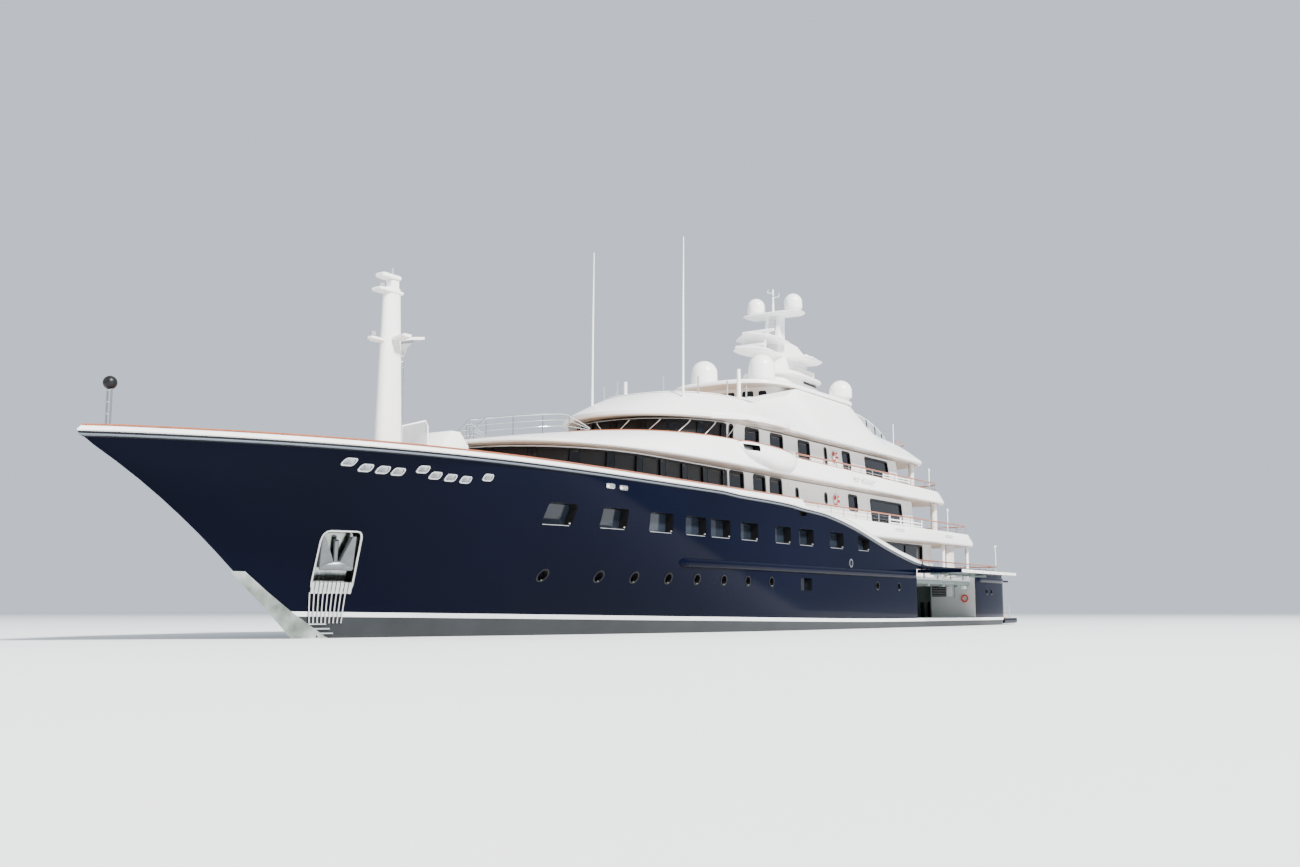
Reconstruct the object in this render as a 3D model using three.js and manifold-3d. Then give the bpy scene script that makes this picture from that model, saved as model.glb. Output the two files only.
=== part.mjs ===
// Motor yacht, 1:10 scale model. X runs to the bow, Y to port, Z up, with the origin amidships
// on the waterline. Sizes in the tables are metres of the real ship; M turns them into model mm.
import * as THREE from 'three';
import { mergeGeometries, mergeVertices } from 'three/addons/utils/BufferGeometryUtils.js';
import Module from 'manifold-3d';

const wasm = await Module();
wasm.setup();

// Scale and clearances
const M = 100;
const GAP = 0.3 / M;
const MOVING_GAP = 0.06;

// Hull
const HALF_BEAM = 7.15;
const DRAUGHT = 3.97;
const KEEL_BAR = { halfWidth: 0.22, bottom: -4.1, top: -3.8, aft: -6, fore: 22 };
const TRANSOM_X = -36.4;
const CORNER_X = -35.2;
const CORNER_RADIUS = 1.2;
const QUARTER_X = -28.4;
const QUARTER_TAPER = 0.35;
const RUN_START_X = -8;
const RUN_RISE = 3.6;
const RUN_POWER = 1.3;
const SECTION_LEVELS = [0, 0.02, 0.06, 0.12, 0.2, 0.28, 0.38, 0.48, 0.58, 0.68, 0.79, 0.9, 1];

// Deck heights above the waterline
const PLATFORM_Z = 0.52;
const LOWER_Z = 0.62;
const MAIN_Z = 3.57;
const UPPER_Z = 6.47;
const BRIDGE_Z = 9.37;
const SUN_Z = 12.27;
const FOREDECK_Z = 7.0;
const MAIN_STEP_X = 3;
const FOREDECK_STEP_X = 23.4;
const WALL = 0.2;
const RAIL_HEIGHT = 1.1;
const UPPER_EDGE_Z = 6.9;

// Stem profile: height, position of the stem
const STEM = [
  [-3.97, 26], [-3, 29.2], [-2, 30.9], [-1, 31.9], [0, 32.8], [1.07, 34], [2.31, 35.56],
  [3.79, 37.39], [5.38, 39.82], [6.77, 41.96], [7.62, 42.8],
];

// Sheer line: position, height of the hull side's top edge
const SHEER = [
  [-36.4, 4.25], [-18.3, 4.25], [-17.1, 4.46], [-15.6, 4.72], [-13, 5.12], [-10.3, 5.66], [-8.6, 5.98],
  [-7.5, 6.26], [-5, 6.75], [-1.7, 7.05], [0.6, 7.2], [1.4, 7.6], [28, 7.61], [42.8, 7.62],
];

// Half-round rails on the hull's sides: forward end, aft end
const RUB_RAIL_Z = 3.52;
const RUB_RAILS = [[14.3, -16.3], [-28.4, -35.2]];

// Bay behind the shell doors, and the room behind the transom hatch
const BAY = { fore: -16.35, aft: -28, ceiling: 3.3, doorTop: 3.98, inner: 6.8 };
const DOOR = { thick: 0.24, outer: 7.12, low: 0.68, high: 3.88, hingeZ: 3.93 };
const DOOR_KNUCKLES = [-17.5, -22.2, -26.8];
const BEACH = { fore: -29.6, half: 5.6, ceiling: 3.2 };
const HATCH = { half: 6.1, thick: 0.18, length: 2.75, hingeX: -36.46, hingeZ: 3.42, knuckles: [-4, 0, 4] };

// Running gear
const SHAFT = { y: 3, z: -2.8, radius: 0.16, fore: -14, aft: -29 };
const SHAFT_ARM_LEAN = 24;
const PROP = { x: -29.4 - GAP, radius: 1.15, hub: 0.3, length: 0.8, blades: 4 };
const RUDDER = { x: -32.2, chord: 1.9, ahead: 0.75, thick: 0.24, low: -3.75, high: -1.5, stock: 0.18 };
const FIN = { x: 6, chord: 1.9, span: 1.5, thick: 0.22, tilt: 40, stock: 0.2, foot: [6, 0, -0.9] };

// Plan outlines of decks and houses: nose tip, where the nose starts, half breadth there, shape
// powers, aft end, half breadth aft, aft corner radius
const PLAN = {
  upperDeck: { nose: 2.95, start: 2.9, half: 6.93, p: 8, q: 8, aft: -29.9, halfAft: 6.9, corner: 1.6 },
  upperDeckTop: { nose: 2.95, start: 2.9, half: 6.93, p: 8, q: 8, aft: -29.2, halfAft: 6.8, corner: 1.5 },
  bridgeEdge: { nose: 23.3, start: 8, half: 6.95, p: 2.5, q: 3, aft: -25.4, halfAft: 6.55, corner: 2.2 },
  bridgeTop: { nose: 15.5, start: 4, half: 6.55, p: 3.5, q: 2.3, aft: -24.6, halfAft: 6.35, corner: 2 },
  sunEdge: { nose: 11.6, start: 2, half: 6.25, p: 2, q: 2, aft: -23.6, halfAft: 5.9, corner: 3.2 },
  sunWell: { nose: 7.35, start: 2, half: 3.85, p: 2.4, q: 2.8, aft: -22.6, halfAft: 3.8, corner: 1 },
  sunAftWell: { nose: -16.2, start: -16.6, half: 4.2, p: 2, q: 2, aft: -22.4, halfAft: 4.3, corner: 1.8 },
  upperHouse: { nose: 22.6, start: 14, half: 5.5, p: 2.4, q: 2, aft: -21, halfAft: 5.4, corner: 0.4 },
  upperHouseTop: { nose: 22.1, start: 14, half: 5.5, p: 2.4, q: 2, aft: -20.4, halfAft: 5.4, corner: 0.4 },
  bridgeHouse: { nose: 10.6, start: 3, half: 5.1, p: 2.5, q: 2.2, aft: -19.5, halfAft: 5, corner: 0.4 },
  bridgeHouseTop: { nose: 10.1, start: 3, half: 5.1, p: 2.5, q: 2.2, aft: -18.6, halfAft: 5, corner: 0.4 },
  sunHouse: { nose: -2.6, start: -4, half: 3.4, p: 2.5, q: 2.5, aft: -13, halfAft: 3.4, corner: 0.3 },
  hardtop: { nose: -0.7, start: -4.6, half: 4.35, p: 2.6, q: 2.6, aft: -13.9, halfAft: 4.1, corner: 1 },
  platform: { nose: -36.4 - GAP, start: -36.5, half: 6.6, p: 8, q: 8, aft: -42.8, halfAft: 6.3, corner: 2.6 },
};

// Height of the bridge deck's bulwark top: position, height
const BRIDGE_TOP = [[-25, 9.8], [-7, 10.02], [0, 10.1], [4, 10.4], [16, 10.35]];

// Sun deck coaming and shoulders: position, height of the top edge
const SUN_TOP = [
  [-24, 12.6], [-23, 12.75], [-22.4, 12.95], [-21.4, 13.3], [-20, 13.58], [-18, 13.8], [-16.5, 14.05],
  [-15.8, 14.2], [-15.2, 14.44], [-14.6, 14.72], [-14, 15], [-13.4, 15.2],
  [-4.6, 15.2], [-3.8, 14.9], [-3, 14.45], [-1.4, 14.15], [0.2, 13.8], [1.4, 13.5], [7.7, 13.5],
];
const SUN_TOP_HALF = 4.15;
const SUN_NOSE_TOP = 7.7;

// Windows cut in the houses' sides: forward end, aft end, sill, head
const MAIN_WINDOWS = [[-12.6, -21.9, 4.55, 5.8]];
const UPPER_WINDOWS = [
  [6.45, 4.9, 7.35, 8.85], [3.65, 2.25, 7.35, 8.85], [1.6, 0.15, 7.35, 8.85],
  [-9.2, -10.85, 7.5, 8.65], [-12.8, -18.55, 7, 8.65],
];
const BRIDGE_WINDOWS = [
  [4.1, 2.45, 10.1, 11.45], [0.9, -0.7, 10.1, 11.45], [-2.9, -4.5, 10.1, 11.45],
  [-9.25, -10.8, 10.3, 11.45], [-12.95, -17.4, 10, 11.45],
];
const SUN_WINDOWS = [[-4.2, -6.2, 13.4, 14.6], [-7, -11.5, 13.4, 14.6]];

// Bands of curved glass round the fronts of two houses
const GLASS_INSET = 0.06;
const GLASS_THICK = 0.08;
const UPPER_BAND = { aft: 7, sill: 7.45, head: 8.85 };
const BRIDGE_BAND = { aft: 6.2, sill: 10.45, head: 11.5 };

// Posts under the decks: deck, position, distance out, half length, half width
const POSTS = [
  ['upper', -23.8, 6.3, 0.14, 0.14], ['upper', -25.65, 6.1, 0.75, 0.22], ['upper', -29.1, 6.2, 0.14, 0.14],
  ['bridge', -23.4, 5.8, 0.25, 0.25], ['sun', -21.2, 5, 0.22, 0.22],
];

// Satellite domes: name, position, distance out, base height, radius, height
const DOMES = [
  ['dome_forward', -3.54, 2.14, 15.6, 0.86, 1.85],
  ['dome_aft', -12.9, 3.3, 15.6, 0.78, 1.4],
  ['dome_top', -9.5, 1.44, 21.5, 0.62, 1.25],
];

// Plates and trunks of the radar mast: nose, start of the nose, half breadth, shape power, aft end,
// half breadth aft, corner radius, underside, top
const MAST_PLATES = [
  [-7, -9.6, 2.1, 2.2, -14.1, 1.7, 1.2, 17, 17.45],
  [-8.2, -9.2, 0.95, 2.4, -13.9, 0.8, 0.6, 17.3, 18.4],
  [-9.3, -10.6, 2.4, 2.4, -13.2, 2.1, 0.7, 18.2, 18.42],
  [-8.6, -9.6, 0.75, 2.4, -13.6, 0.45, 0.4, 18.3, 19.5],
  [-4.9, -6.4, 1.25, 2.2, -9.4, 0.9, 0.5, 18.2, 18.42],
  [-5.9, -6.9, 1.6, 2.2, -9.8, 0.8, 0.4, 19.35, 19.6],
  [-8.6, -9.1, 2.2, 3, -10.4, 2.1, 0.5, 21.25, 21.5],
];

const SIDES = [['port', 1], ['starboard', -1]];

const COLOUR = {
  navy: 0x0d1730, white: 0xf2f3f2, steel: 0xb9bdc0, glass: 0x1c2a3a, teak: 0xa0623c, dark: 0x15171a,
  bronze: 0xa98a4e, grey: 0x9aa0a4,
};

// Reads a table of pairs at one value, with straight lines between the rows.
function lookup(table, value) {
  const first = table[0];
  const last = table[table.length - 1];
  if (value <= first[0]) return first[1];
  if (value >= last[0]) return last[1];
  const next = table.findIndex((row) => row[0] >= value);
  const [x0, y0] = table[next - 1];
  const [x1, y1] = table[next];
  return y0 + ((y1 - y0) * (value - x0)) / (x1 - x0);
}

const clamp01 = (value) => Math.min(1, Math.max(0, value));
const stemX = (z) => lookup(STEM, z);
const stemZ = (x) => lookup(STEM.map(([z, position]) => [position, z]), x);
const sheerZ = (x) => lookup(SHEER, x);

// Depth of the keel line below the waterline; it is above the water forward of the stem's foot.
function keelZ(x) {
  if (x > STEM[0][1]) return stemZ(x);
  if (x > RUN_START_X) return -DRAUGHT;
  return -DRAUGHT + RUN_RISE * ((RUN_START_X - x) / (RUN_START_X - TRANSOM_X)) ** RUN_POWER;
}

// Half breadth of the hull's side above the waterline.
function topsideHalf(x, z) {
  const rise = clamp01(z / 7.5);
  const along = clamp01((stemX(z) - x) / (34 - 8 * rise));
  const entry = 1 - (1 - along ** (1.25 - 0.25 * rise)) ** (2.2 + rise);
  let half = (7 + 0.15 * clamp01(z / 0.6)) * entry;
  if (x < QUARTER_X) half -= QUARTER_TAPER * ((QUARTER_X - x) / (QUARTER_X - TRANSOM_X)) ** 2;
  const bend = Math.min(CORNER_RADIUS, Math.max(0, CORNER_X - x));
  return half - CORNER_RADIUS + Math.sqrt(CORNER_RADIUS ** 2 - bend ** 2);
}

// Half breadth of the hull at any height.
function hullHalf(x, z) {
  if (z >= 0) return topsideHalf(x, z);
  const aftPinch = 1 - 0.1 * clamp01((RUN_START_X - x) / 28) ** 2 * clamp01(-z / 0.6);
  const depth = clamp01(z / keelZ(x));
  return topsideHalf(x, 0) * aftPinch * Math.sqrt(1 - depth ** 3.2);
}

// Builds a closed solid through rings that all have the same number of points.
function loft(rings, plane) {
  const count = rings[0].length;
  const positions = rings.flat().flatMap(([x, y, z]) => [x * M, y * M, z * M]);
  const planes = {
    xy: ([x, y]) => new THREE.Vector2(x, y),
    yz: ([, y, z]) => new THREE.Vector2(y, z),
    zx: ([x, , z]) => new THREE.Vector2(z, x),
  };
  const flat = (ring) => ring.map(planes[plane]);
  const index = [];
  for (let r = 0; r < rings.length - 1; r++) {
    for (let i = 0; i < count; i++) {
      const a = r * count + i;
      const b = r * count + ((i + 1) % count);
      index.push(a, b, b + count, a, b + count, a + count);
    }
  }
  const top = (rings.length - 1) * count;
  THREE.ShapeUtils.triangulateShape(flat(rings[0]), []).forEach(([a, b, c]) => index.push(a, c, b));
  THREE.ShapeUtils.triangulateShape(flat(rings[rings.length - 1]), [])
    .forEach(([a, b, c]) => index.push(top + a, top + b, top + c));
  const geometry = new THREE.BufferGeometry();
  geometry.setAttribute('position', new THREE.Float32BufferAttribute(positions, 3));
  geometry.setIndex(index);
  return solid(geometry);
}

// Turns a closed geometry, in model millimetres, into a solid that can be cut and joined.
function solid(geometry) {
  const bare = geometry.clone();
  bare.deleteAttribute('normal');
  bare.deleteAttribute('uv');
  const merged = mergeVertices(bare, 1e-3);
  const made = new wasm.Manifold(new wasm.Mesh({
    numProp: 3,
    vertProperties: Float32Array.from(merged.attributes.position.array),
    triVerts: Uint32Array.from(merged.index.array),
  }));
  return made;
}

function geometryOf(piece) {
  const mesh = piece.getMesh();
  const geometry = new THREE.BufferGeometry();
  geometry.setAttribute('position', new THREE.BufferAttribute(mesh.vertProperties, 3));
  geometry.setIndex(new THREE.BufferAttribute(mesh.triVerts, 1));
  return geometry;
}

const placed = (geometry, matrix) => solid(geometry.applyMatrix4(matrix));

// Box between two corners, in ship metres.
function box(x0, x1, y0, y1, z0, z1) {
  const geometry = new THREE.BoxGeometry(Math.abs(x1 - x0) * M, Math.abs(y1 - y0) * M, Math.abs(z1 - z0) * M);
  geometry.translate(((x0 + x1) / 2) * M, ((y0 + y1) / 2) * M, ((z0 + z1) / 2) * M);
  return solid(geometry);
}

// Straight round bar from one point to another.
function bar(from, to, radius, sides = 8, radiusEnd = radius) {
  const start = new THREE.Vector3(...from).multiplyScalar(M);
  const end = new THREE.Vector3(...to).multiplyScalar(M);
  const length = start.distanceTo(end);
  const geometry = new THREE.CylinderGeometry(radiusEnd * M, radius * M, length, sides);
  const turn = new THREE.Quaternion().setFromUnitVectors(
    new THREE.Vector3(0, 1, 0), end.clone().sub(start).normalize());
  return placed(geometry, new THREE.Matrix4().compose(
    start.add(end).multiplyScalar(0.5), turn, new THREE.Vector3(1, 1, 1)));
}

// Prism with an outline in the plane of two axes, between two values of the third.
function prism(outline, from, to, axes = 'xy') {
  const shape = new THREE.Shape(outline.map(([a, b]) => new THREE.Vector2(a * M, b * M)));
  const geometry = new THREE.ExtrudeGeometry(shape, { depth: (to - from) * M, bevelEnabled: false });
  geometry.translate(0, 0, from * M);
  if (axes === 'xz') geometry.rotateX(Math.PI / 2);
  return solid(geometry);
}

// Solid turned about its upright axis from a profile of radii and heights.
function turned(profile, x, y, z, segments = 16) {
  const points = profile.map(([r, h]) => new THREE.Vector2(r * M, h * M));
  const geometry = new THREE.LatheGeometry(points, segments);
  geometry.rotateX(Math.PI / 2);
  geometry.translate(x * M, y * M, z * M);
  return solid(geometry);
}

const union = (pieces) => pieces.reduce((whole, piece) => whole.add(piece));
const onSide = (piece, side) => (side > 0 ? piece : piece.mirror([0, 1, 0]));
const moved = (piece, x, y, z) => piece.translate([x * M, y * M, z * M]);

// Distance from a point, along a direction, at which a round bar of that radius leaves a body.
function reachOf(body, from, direction, radius, length) {
  const column = bar(from, from.map((value, i) => value + direction[i] * length), radius, 12);
  const turn = new THREE.Quaternion().setFromUnitVectors(
    new THREE.Vector3(...direction), new THREE.Vector3(0, 0, 1));
  const upright = new THREE.Matrix4().makeRotationFromQuaternion(turn);
  const start = new THREE.Vector3(...from).applyMatrix4(upright);
  const inside = body.intersect(column).transform(upright.elements.slice());
  return inside.boundingBox().max[2] / M - start.z;
}

// Cuts the foot of a piece so that it stands just above the body under it.
const seatedOn = (piece, body) => piece.subtract(moved(body, 0, 0, GAP)).simplify(0.02);

// Cuts a piece back so that it stands just clear of the body it lies on.
function clearOf(piece, body, gap = GAP * 1.5) {
  const shifts = [[0, gap, 0], [0, -gap, 0], [gap, 0, 0]];
  return shifts.reduce((rest, shift) => rest.subtract(moved(body, ...shift)), piece).simplify(0.02);
}

// Half breadth of a plan outline at one position.
function planHalf(plan, x, inset = 0) {
  const nose = plan.nose - inset;
  const start = Math.min(plan.start, nose - 0.1);
  if (x > start) {
    const along = clamp01((x - start) / (nose - start));
    return (plan.half - inset) * (1 - along ** plan.p) ** (1 / plan.q);
  }
  return plan.half + ((plan.halfAft - plan.half) * (start - x)) / (start - plan.aft) - inset;
}

// Closed plan outline: port side from the nose aft, then starboard back to the nose.
function planOutline(plan, inset = 0, noseSteps = 8, cornerSteps = 3, sideSteps = 1) {
  const port = [];
  const nose = plan.nose - inset;
  const start = Math.min(plan.start, nose - 0.1);
  for (let i = 1; i <= noseSteps; i++) {
    const along = Math.cos((i / noseSteps) * (Math.PI / 2));
    const x = start + (nose - start) * along;
    port.push([x, planHalf(plan, x, inset)]);
  }
  const aft = plan.aft + inset;
  const radius = Math.max(plan.corner - inset, 0.05);
  const halfAft = plan.halfAft - inset;
  for (let i = 1; i < sideSteps; i++) {
    const x = start + ((aft + radius - start) * i) / sideSteps;
    port.push([x, planHalf(plan, x, inset)]);
  }
  for (let i = 0; i <= cornerSteps; i++) {
    const angle = (i / cornerSteps) * (Math.PI / 2);
    port.push([aft + radius * (1 - Math.sin(angle)), halfAft - radius * (1 - Math.cos(angle))]);
  }
  const starboard = port.map(([x, y]) => [x, -y]).reverse();
  return [[nose, 0], ...port, ...starboard];
}

const ringAt = (outline, z) => outline.map(([x, y]) => [x, y, typeof z === 'function' ? z(x) : z]);

// Hull

function hullRing(x) {
  const low = keelZ(x);
  const port = SECTION_LEVELS.map((level) => {
    const z = low + (FOREDECK_Z - low) * level;
    return [x, level === 0 ? 0 : Math.max(hullHalf(x, z), 0.01), z];
  });
  const starboard = port.slice(1).map(([, y, z]) => [x, -y, z]).reverse();
  return [...port, ...starboard];
}

function hullBody(bulwarks) {
  const stations = [
    TRANSOM_X, -36.1, -35.7, CORNER_X, -33, -30.5, QUARTER_X, -25, -22, -19, -16, -12, -8, -4, 0, 4, 8, 12,
    16, 19, 22, 24, 26, 27.5, 29, 30.3, 31.5, 32.4, 33.4, 34.5, 35.6, 36.7, 37.8, 38.9, 40, 41, 41.8, 42.15,
  ];
  let hull = loft(stations.map(hullRing), 'yz');
  const { halfWidth, bottom, top, aft, fore } = KEEL_BAR;
  hull = hull.add(box(aft, fore, -halfWidth, halfWidth, bottom, top));
  const skeg = [[RUN_START_X + 3, -2.6], [RUN_START_X + 3, bottom], [-24, bottom], [-26.5, -1.8]];
  hull = hull.add(prism(skeg, -0.15, 0.15, 'xz'));
  const topsides = hull.intersect(box(-40, 20, -9, 9, MAIN_Z - 0.05, 5));
  hull = hull.subtract(box(-40, MAIN_STEP_X, -9, 9, MAIN_Z - 0.05, 9));
  hull = hull.subtract(box(MAIN_STEP_X - 0.1, FOREDECK_STEP_X, -9, 9, UPPER_Z, 9));
  hull = hull.subtract(box(BAY.aft, BAY.fore, -BAY.inner, BAY.inner, LOWER_Z, BAY.ceiling));
  hull = hull.subtract(box(BAY.aft, BAY.fore, BAY.inner - 0.05, 8, LOWER_Z, 5));
  hull = hull.subtract(box(BAY.aft, BAY.fore, -8, 0.05 - BAY.inner, LOWER_Z, 5));
  hull = hull.subtract(box(-40, BEACH.fore, -BEACH.half, BEACH.half, LOWER_Z, BEACH.ceiling));
  for (const [label, side] of SIDES) {
    const inboard = [topsides, bulwarks[label]].map((body) => moved(body, 0, side * GAP * 2, 0));
    for (const [fore, aft] of RUB_RAILS) {
      const rubRail = sideRail(side, fore, aft, RUB_RAIL_Z);
      hull = hull.add(rubRail.subtract(inboard[0]).subtract(inboard[1]));
    }
  }
  return hull;
}

// Half-round rail along the hull's side, in short straight lengths.
function sideRail(side, fore, aft, z) {
  const radius = 0.22;
  const outline = [
    [-0.3, -radius], [0.02, -radius], [0.12, -radius * 0.6], [0.16, 0], [0.12, radius * 0.6], [0.02, radius],
    [-0.3, radius],
  ];
  const steps = 8;
  const rings = [];
  for (let i = 0; i <= steps; i++) {
    const x = aft + ((fore - aft) * i) / steps;
    const taper = i === steps ? 0.25 : 1;
    rings.push(outline.map(([out, up]) => [x, hullHalf(x, z) + out * taper, z + up * taper]));
  }
  return onSide(loft(rings, 'yz'), side);
}

// Bulwark with its cap, from the bow to the quarter, on one side.
function bulwark(side) {
  const stations = [
    -35.1, -33, -30.5, QUARTER_X, -25, -22, -18.3, -17.1, -15.6, -13, -11.6, -10.3, -8.6, -7.5, -5, -3.3, -1.7,
    0.6, 1.4, 4, 8.4, 12.6, 17, 21.4, 23.8, 26, 28, 30, 32, 34, 35.5, 37, 38.3, 39.5, 40.5, 41.4, 42.1, 42.5, 42.75,
  ];
  const rings = stations.map((x) => {
    const top = sheerZ(x);
    let low = x < MAIN_STEP_X + 1 ? MAIN_Z - 0.05 + GAP : UPPER_Z + GAP;
    if (x > FOREDECK_STEP_X + 1) low = Math.max(FOREDECK_Z + GAP, stemZ(x) + 0.02);
    const neck = top - 0.3;
    const lowest = Math.min(low, neck - 0.02);
    const inner = (half, inset) => Math.max(half - inset, GAP * 2);
    const lower = Math.max(hullHalf(x, lowest), 0.05);
    const upper = Math.max(hullHalf(x, neck), 0.08);
    return [
      [inner(lower, WALL), lowest], [lower, lowest], [upper, neck], [upper + 0.08, neck + 0.06],
      [upper + 0.08, top], [inner(upper, 0.28), top], [inner(upper, 0.28), neck + 0.06],
      [inner(upper, WALL), neck],
    ].map(([y, z]) => [x, y, z]);
  });
  const steps = [
    box(MAIN_STEP_X - GAP, 10, 0, 9, 3, UPPER_Z + GAP),
    box(FOREDECK_STEP_X - GAP, 30, 0, 9, 6, FOREDECK_Z + GAP),
    box(BAY.aft, BAY.fore, 5, 9, 3, BAY.doorTop),
  ];
  return onSide(steps.reduce((rest, step) => rest.subtract(step), loft(rings, 'yz')), side);
}

// Thin polished plate folded round the stem: height, reach aft of the stem.
const STEM_PLATE = [[-0.8, 0.5], [-0.3, 1.3], [0, 1.5], [0.5, 1.2], [1.07, 0.85], [1.9, 0.6], [2.65, 0.45]];

function stemPlate(hull) {
  const rings = STEM_PLATE.map(([z, reach]) => {
    const folded = (parts, out, nose) => {
      const port = parts.map((part) => {
        const x = stemX(z) - reach * part;
        return [x, Math.max(hullHalf(x, z) + out, 0.01), z];
      });
      return [...port, [stemX(z) + nose, 0, z], ...port.map(([x, y]) => [x, -y, z]).reverse()];
    };
    const outside = folded([1, 0.6, 0.3, 0.08], 0.09, 0.1);
    const inside = folded([1, 0.8, 0.6, 0.45], -0.12, -0.3 * reach);
    return [...outside, ...inside.reverse()].reverse();
  });
  return clearOf(loft(rings, 'xy'), hull);
}

// Polished plate that lines the anchor's pocket, laid on the flared side.
function anchorPocket(side, hull) {
  const corners = [[32.68, 1.89], [31.02, 1.9], [31.94, 4.29], [33.41, 4.28]];
  const plate = (out) => corners.map(([x, z]) => [x, hullHalf(x, z) + out, z]);
  return onSide(clearOf(loft([plate(-0.1), plate(0.06)], 'zx'), hull), side);
}

// Stockless anchor with a shank, a crown and two flukes, hung against its pocket.
function anchor(side, pocket) {
  const centre = [32.45, 3.5];
  const rake = 0.54;
  const at = (dx, up, out) => {
    const x = centre[0] + dx + rake * up;
    const z = centre[1] + up;
    return [x, hullHalf(x, z) + out, z];
  };
  const shank = bar(at(0, -0.8, 0.38), at(0, 0.5, 0.32), 0.1);
  const crown = bar(at(-0.6, -0.8, 0.38), at(0.6, -0.8, 0.38), 0.14);
  const flukes = [-1, 1].map((way) =>
    bar(at(way * 0.48, -0.8, 0.38), at(way * 0.58, 0.1, 0.32), 0.15, 6, 0.04));
  return onSide(clearOf(union([shank, crown, ...flukes]), pocket), side);
}

// Moving panels of the hull

// Shell door with round knuckles on its hinge line; the opened one is turned up about that line.
function shellDoor(side, open) {
  const { thick, outer, low, high, hingeZ } = DOOR;
  const panel = box(BAY.aft + MOVING_GAP, BAY.fore - MOVING_GAP, outer - thick, outer, low, high);
  const radius = BAY.doorTop - hingeZ - GAP;
  const hinges = DOOR_KNUCKLES.flatMap((x) => [
    bar([x - 0.3, outer, hingeZ], [x + 0.3, outer, hingeZ], radius, 12),
    box(x - 0.3, x + 0.3, outer - radius, outer, high - 0.05, hingeZ),
  ]);
  const door = moved(union([panel, ...hinges]), 0, -outer, -hingeZ).rotate([open ? 90 : 0, 0, 0]);
  return onSide(moved(door, 0, outer, hingeZ), side);
}

function transomHatch() {
  const { half, thick, length, hingeX, hingeZ, knuckles } = HATCH;
  const radius = TRANSOM_X - hingeX - GAP;
  const panel = box(hingeX - length, hingeX - 0.08, -half, half, hingeZ, hingeZ + thick);
  const hinges = knuckles.flatMap((y) => [
    bar([hingeX, y - 0.3, hingeZ], [hingeX, y + 0.3, hingeZ], radius, 12),
    box(hingeX - 0.12, hingeX, y - 0.3, y + 0.3, hingeZ, hingeZ + radius),
  ]);
  return union([panel, ...hinges]);
}

// Running gear

function shaft(side, hull) {
  const { y, z, radius, fore, aft } = SHAFT;
  const line = bar([aft, side * y, z], [fore, side * y, z], radius, 10);
  const barrel = bar([aft, side * y, z], [aft + 0.9, side * y, z], 0.3, 12);
  const outline = [[aft + 0.1, 0], [aft + 0.8, 0], [aft + 0.9, 2.2], [aft + 0.2, 2.2]];
  const arms = [-SHAFT_ARM_LEAN, SHAFT_ARM_LEAN].map((lean) =>
    moved(prism(outline, -0.08, 0.08, 'xz').rotate([lean, 0, 0]), 0, side * y, z));
  return union([line, barrel, ...arms]).subtract(moved(hull, 0, 0, -GAP));
}

function propeller(side) {
  const { x, radius, hub, length, blades } = PROP;
  const y = side * SHAFT.y;
  const { z } = SHAFT;
  const profile = [
    [0, -length * 0.62], [hub * 0.55, -length * 0.5], [hub, -length * 0.1], [hub, length / 2],
    [0, length / 2],
  ];
  const body = new THREE.LatheGeometry(profile.map(([r, h]) => new THREE.Vector2(r * M, h * M)), 12);
  body.rotateZ(-Math.PI / 2);
  const pieces = [solid(body)];
  for (let i = 0; i < blades; i++) {
    const shape = new THREE.Shape();
    shape.moveTo(-0.16 * M, 0.15 * M);
    shape.quadraticCurveTo(-0.62 * M, 0.7 * M, -0.18 * M, radius * M);
    shape.quadraticCurveTo(0.5 * M, radius * 0.9 * M, 0.2 * M, 0.15 * M);
    const blade = new THREE.ExtrudeGeometry(shape, {
      depth: 0.07 * M, bevelEnabled: false, curveSegments: 5,
    });
    blade.translate(0, 0, -0.035 * M);
    blade.rotateY(side * 0.95);
    blade.rotateX((i / blades) * Math.PI * 2);
    pieces.push(solid(blade));
  }
  return moved(union(pieces), x, y, z);
}

function rudder(side, hull) {
  const { x, chord, ahead, thick, low, high, stock } = RUDDER;
  const y = side * SHAFT.y;
  const outline = [
    [x + ahead, 0], [x + ahead - 0.2, thick * 0.4], [x + 0.1, thick / 2], [x - chord + ahead, 0.02],
    [x - chord + ahead, -0.02], [x + 0.1, -thick / 2], [x + ahead - 0.2, -thick * 0.4],
  ];
  const blade = moved(prism(outline, low, high), 0, y, 0);
  const seat = 1 - reachOf(hull, [x, y, 1], [0, 0, -1], stock, 6) - GAP;
  return blade.add(bar([x, y, high - 0.05], [x, y, seat], stock, 12));
}

function stabiliserFin(side, hull) {
  const { x, chord, span, thick, tilt, stock, foot } = FIN;
  const angle = (tilt * Math.PI) / 180;
  const out = [0, side * Math.cos(angle), -Math.sin(angle)];
  const seat = reachOf(hull, foot, out, stock, 8) + GAP;
  const outline = [
    [x + 0.75, 0], [x + 0.5, thick * 0.4], [x, thick / 2], [x + 0.75 - chord, 0], [x, -thick / 2],
    [x + 0.5, -thick * 0.4],
  ];
  const blade = prism(outline, 0.22, 0.22 + span);
  const stub = bar([x, 0, 0], [x, 0, 0.3], stock, 12);
  const tiltBack = side * (90 + tilt);
  const at = foot.map((value, i) => value + out[i] * seat);
  return moved(blade.add(stub).rotate([-tiltBack, 0, 0]), 0, at[1], at[2]);
}

// Decks

// Tray: a slab with a raised edge, from rings of the same plan, with its well cut out.
function tray(rings, wells) {
  let deck = loft(rings, 'xy');
  wells.forEach(([outline, z]) => {
    deck = deck.subtract(prism(outline, z, z + 5));
  });
  return deck;
}

function postsUnder(deck, low, high) {
  return POSTS.filter(([name]) => name === deck).flatMap(([, x, y, halfLength, halfWidth]) => {
    const post = box(x - halfLength, x + halfLength, y - halfWidth, y + halfWidth, low, high);
    return [post, onSide(post, -1)];
  });
}

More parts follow.
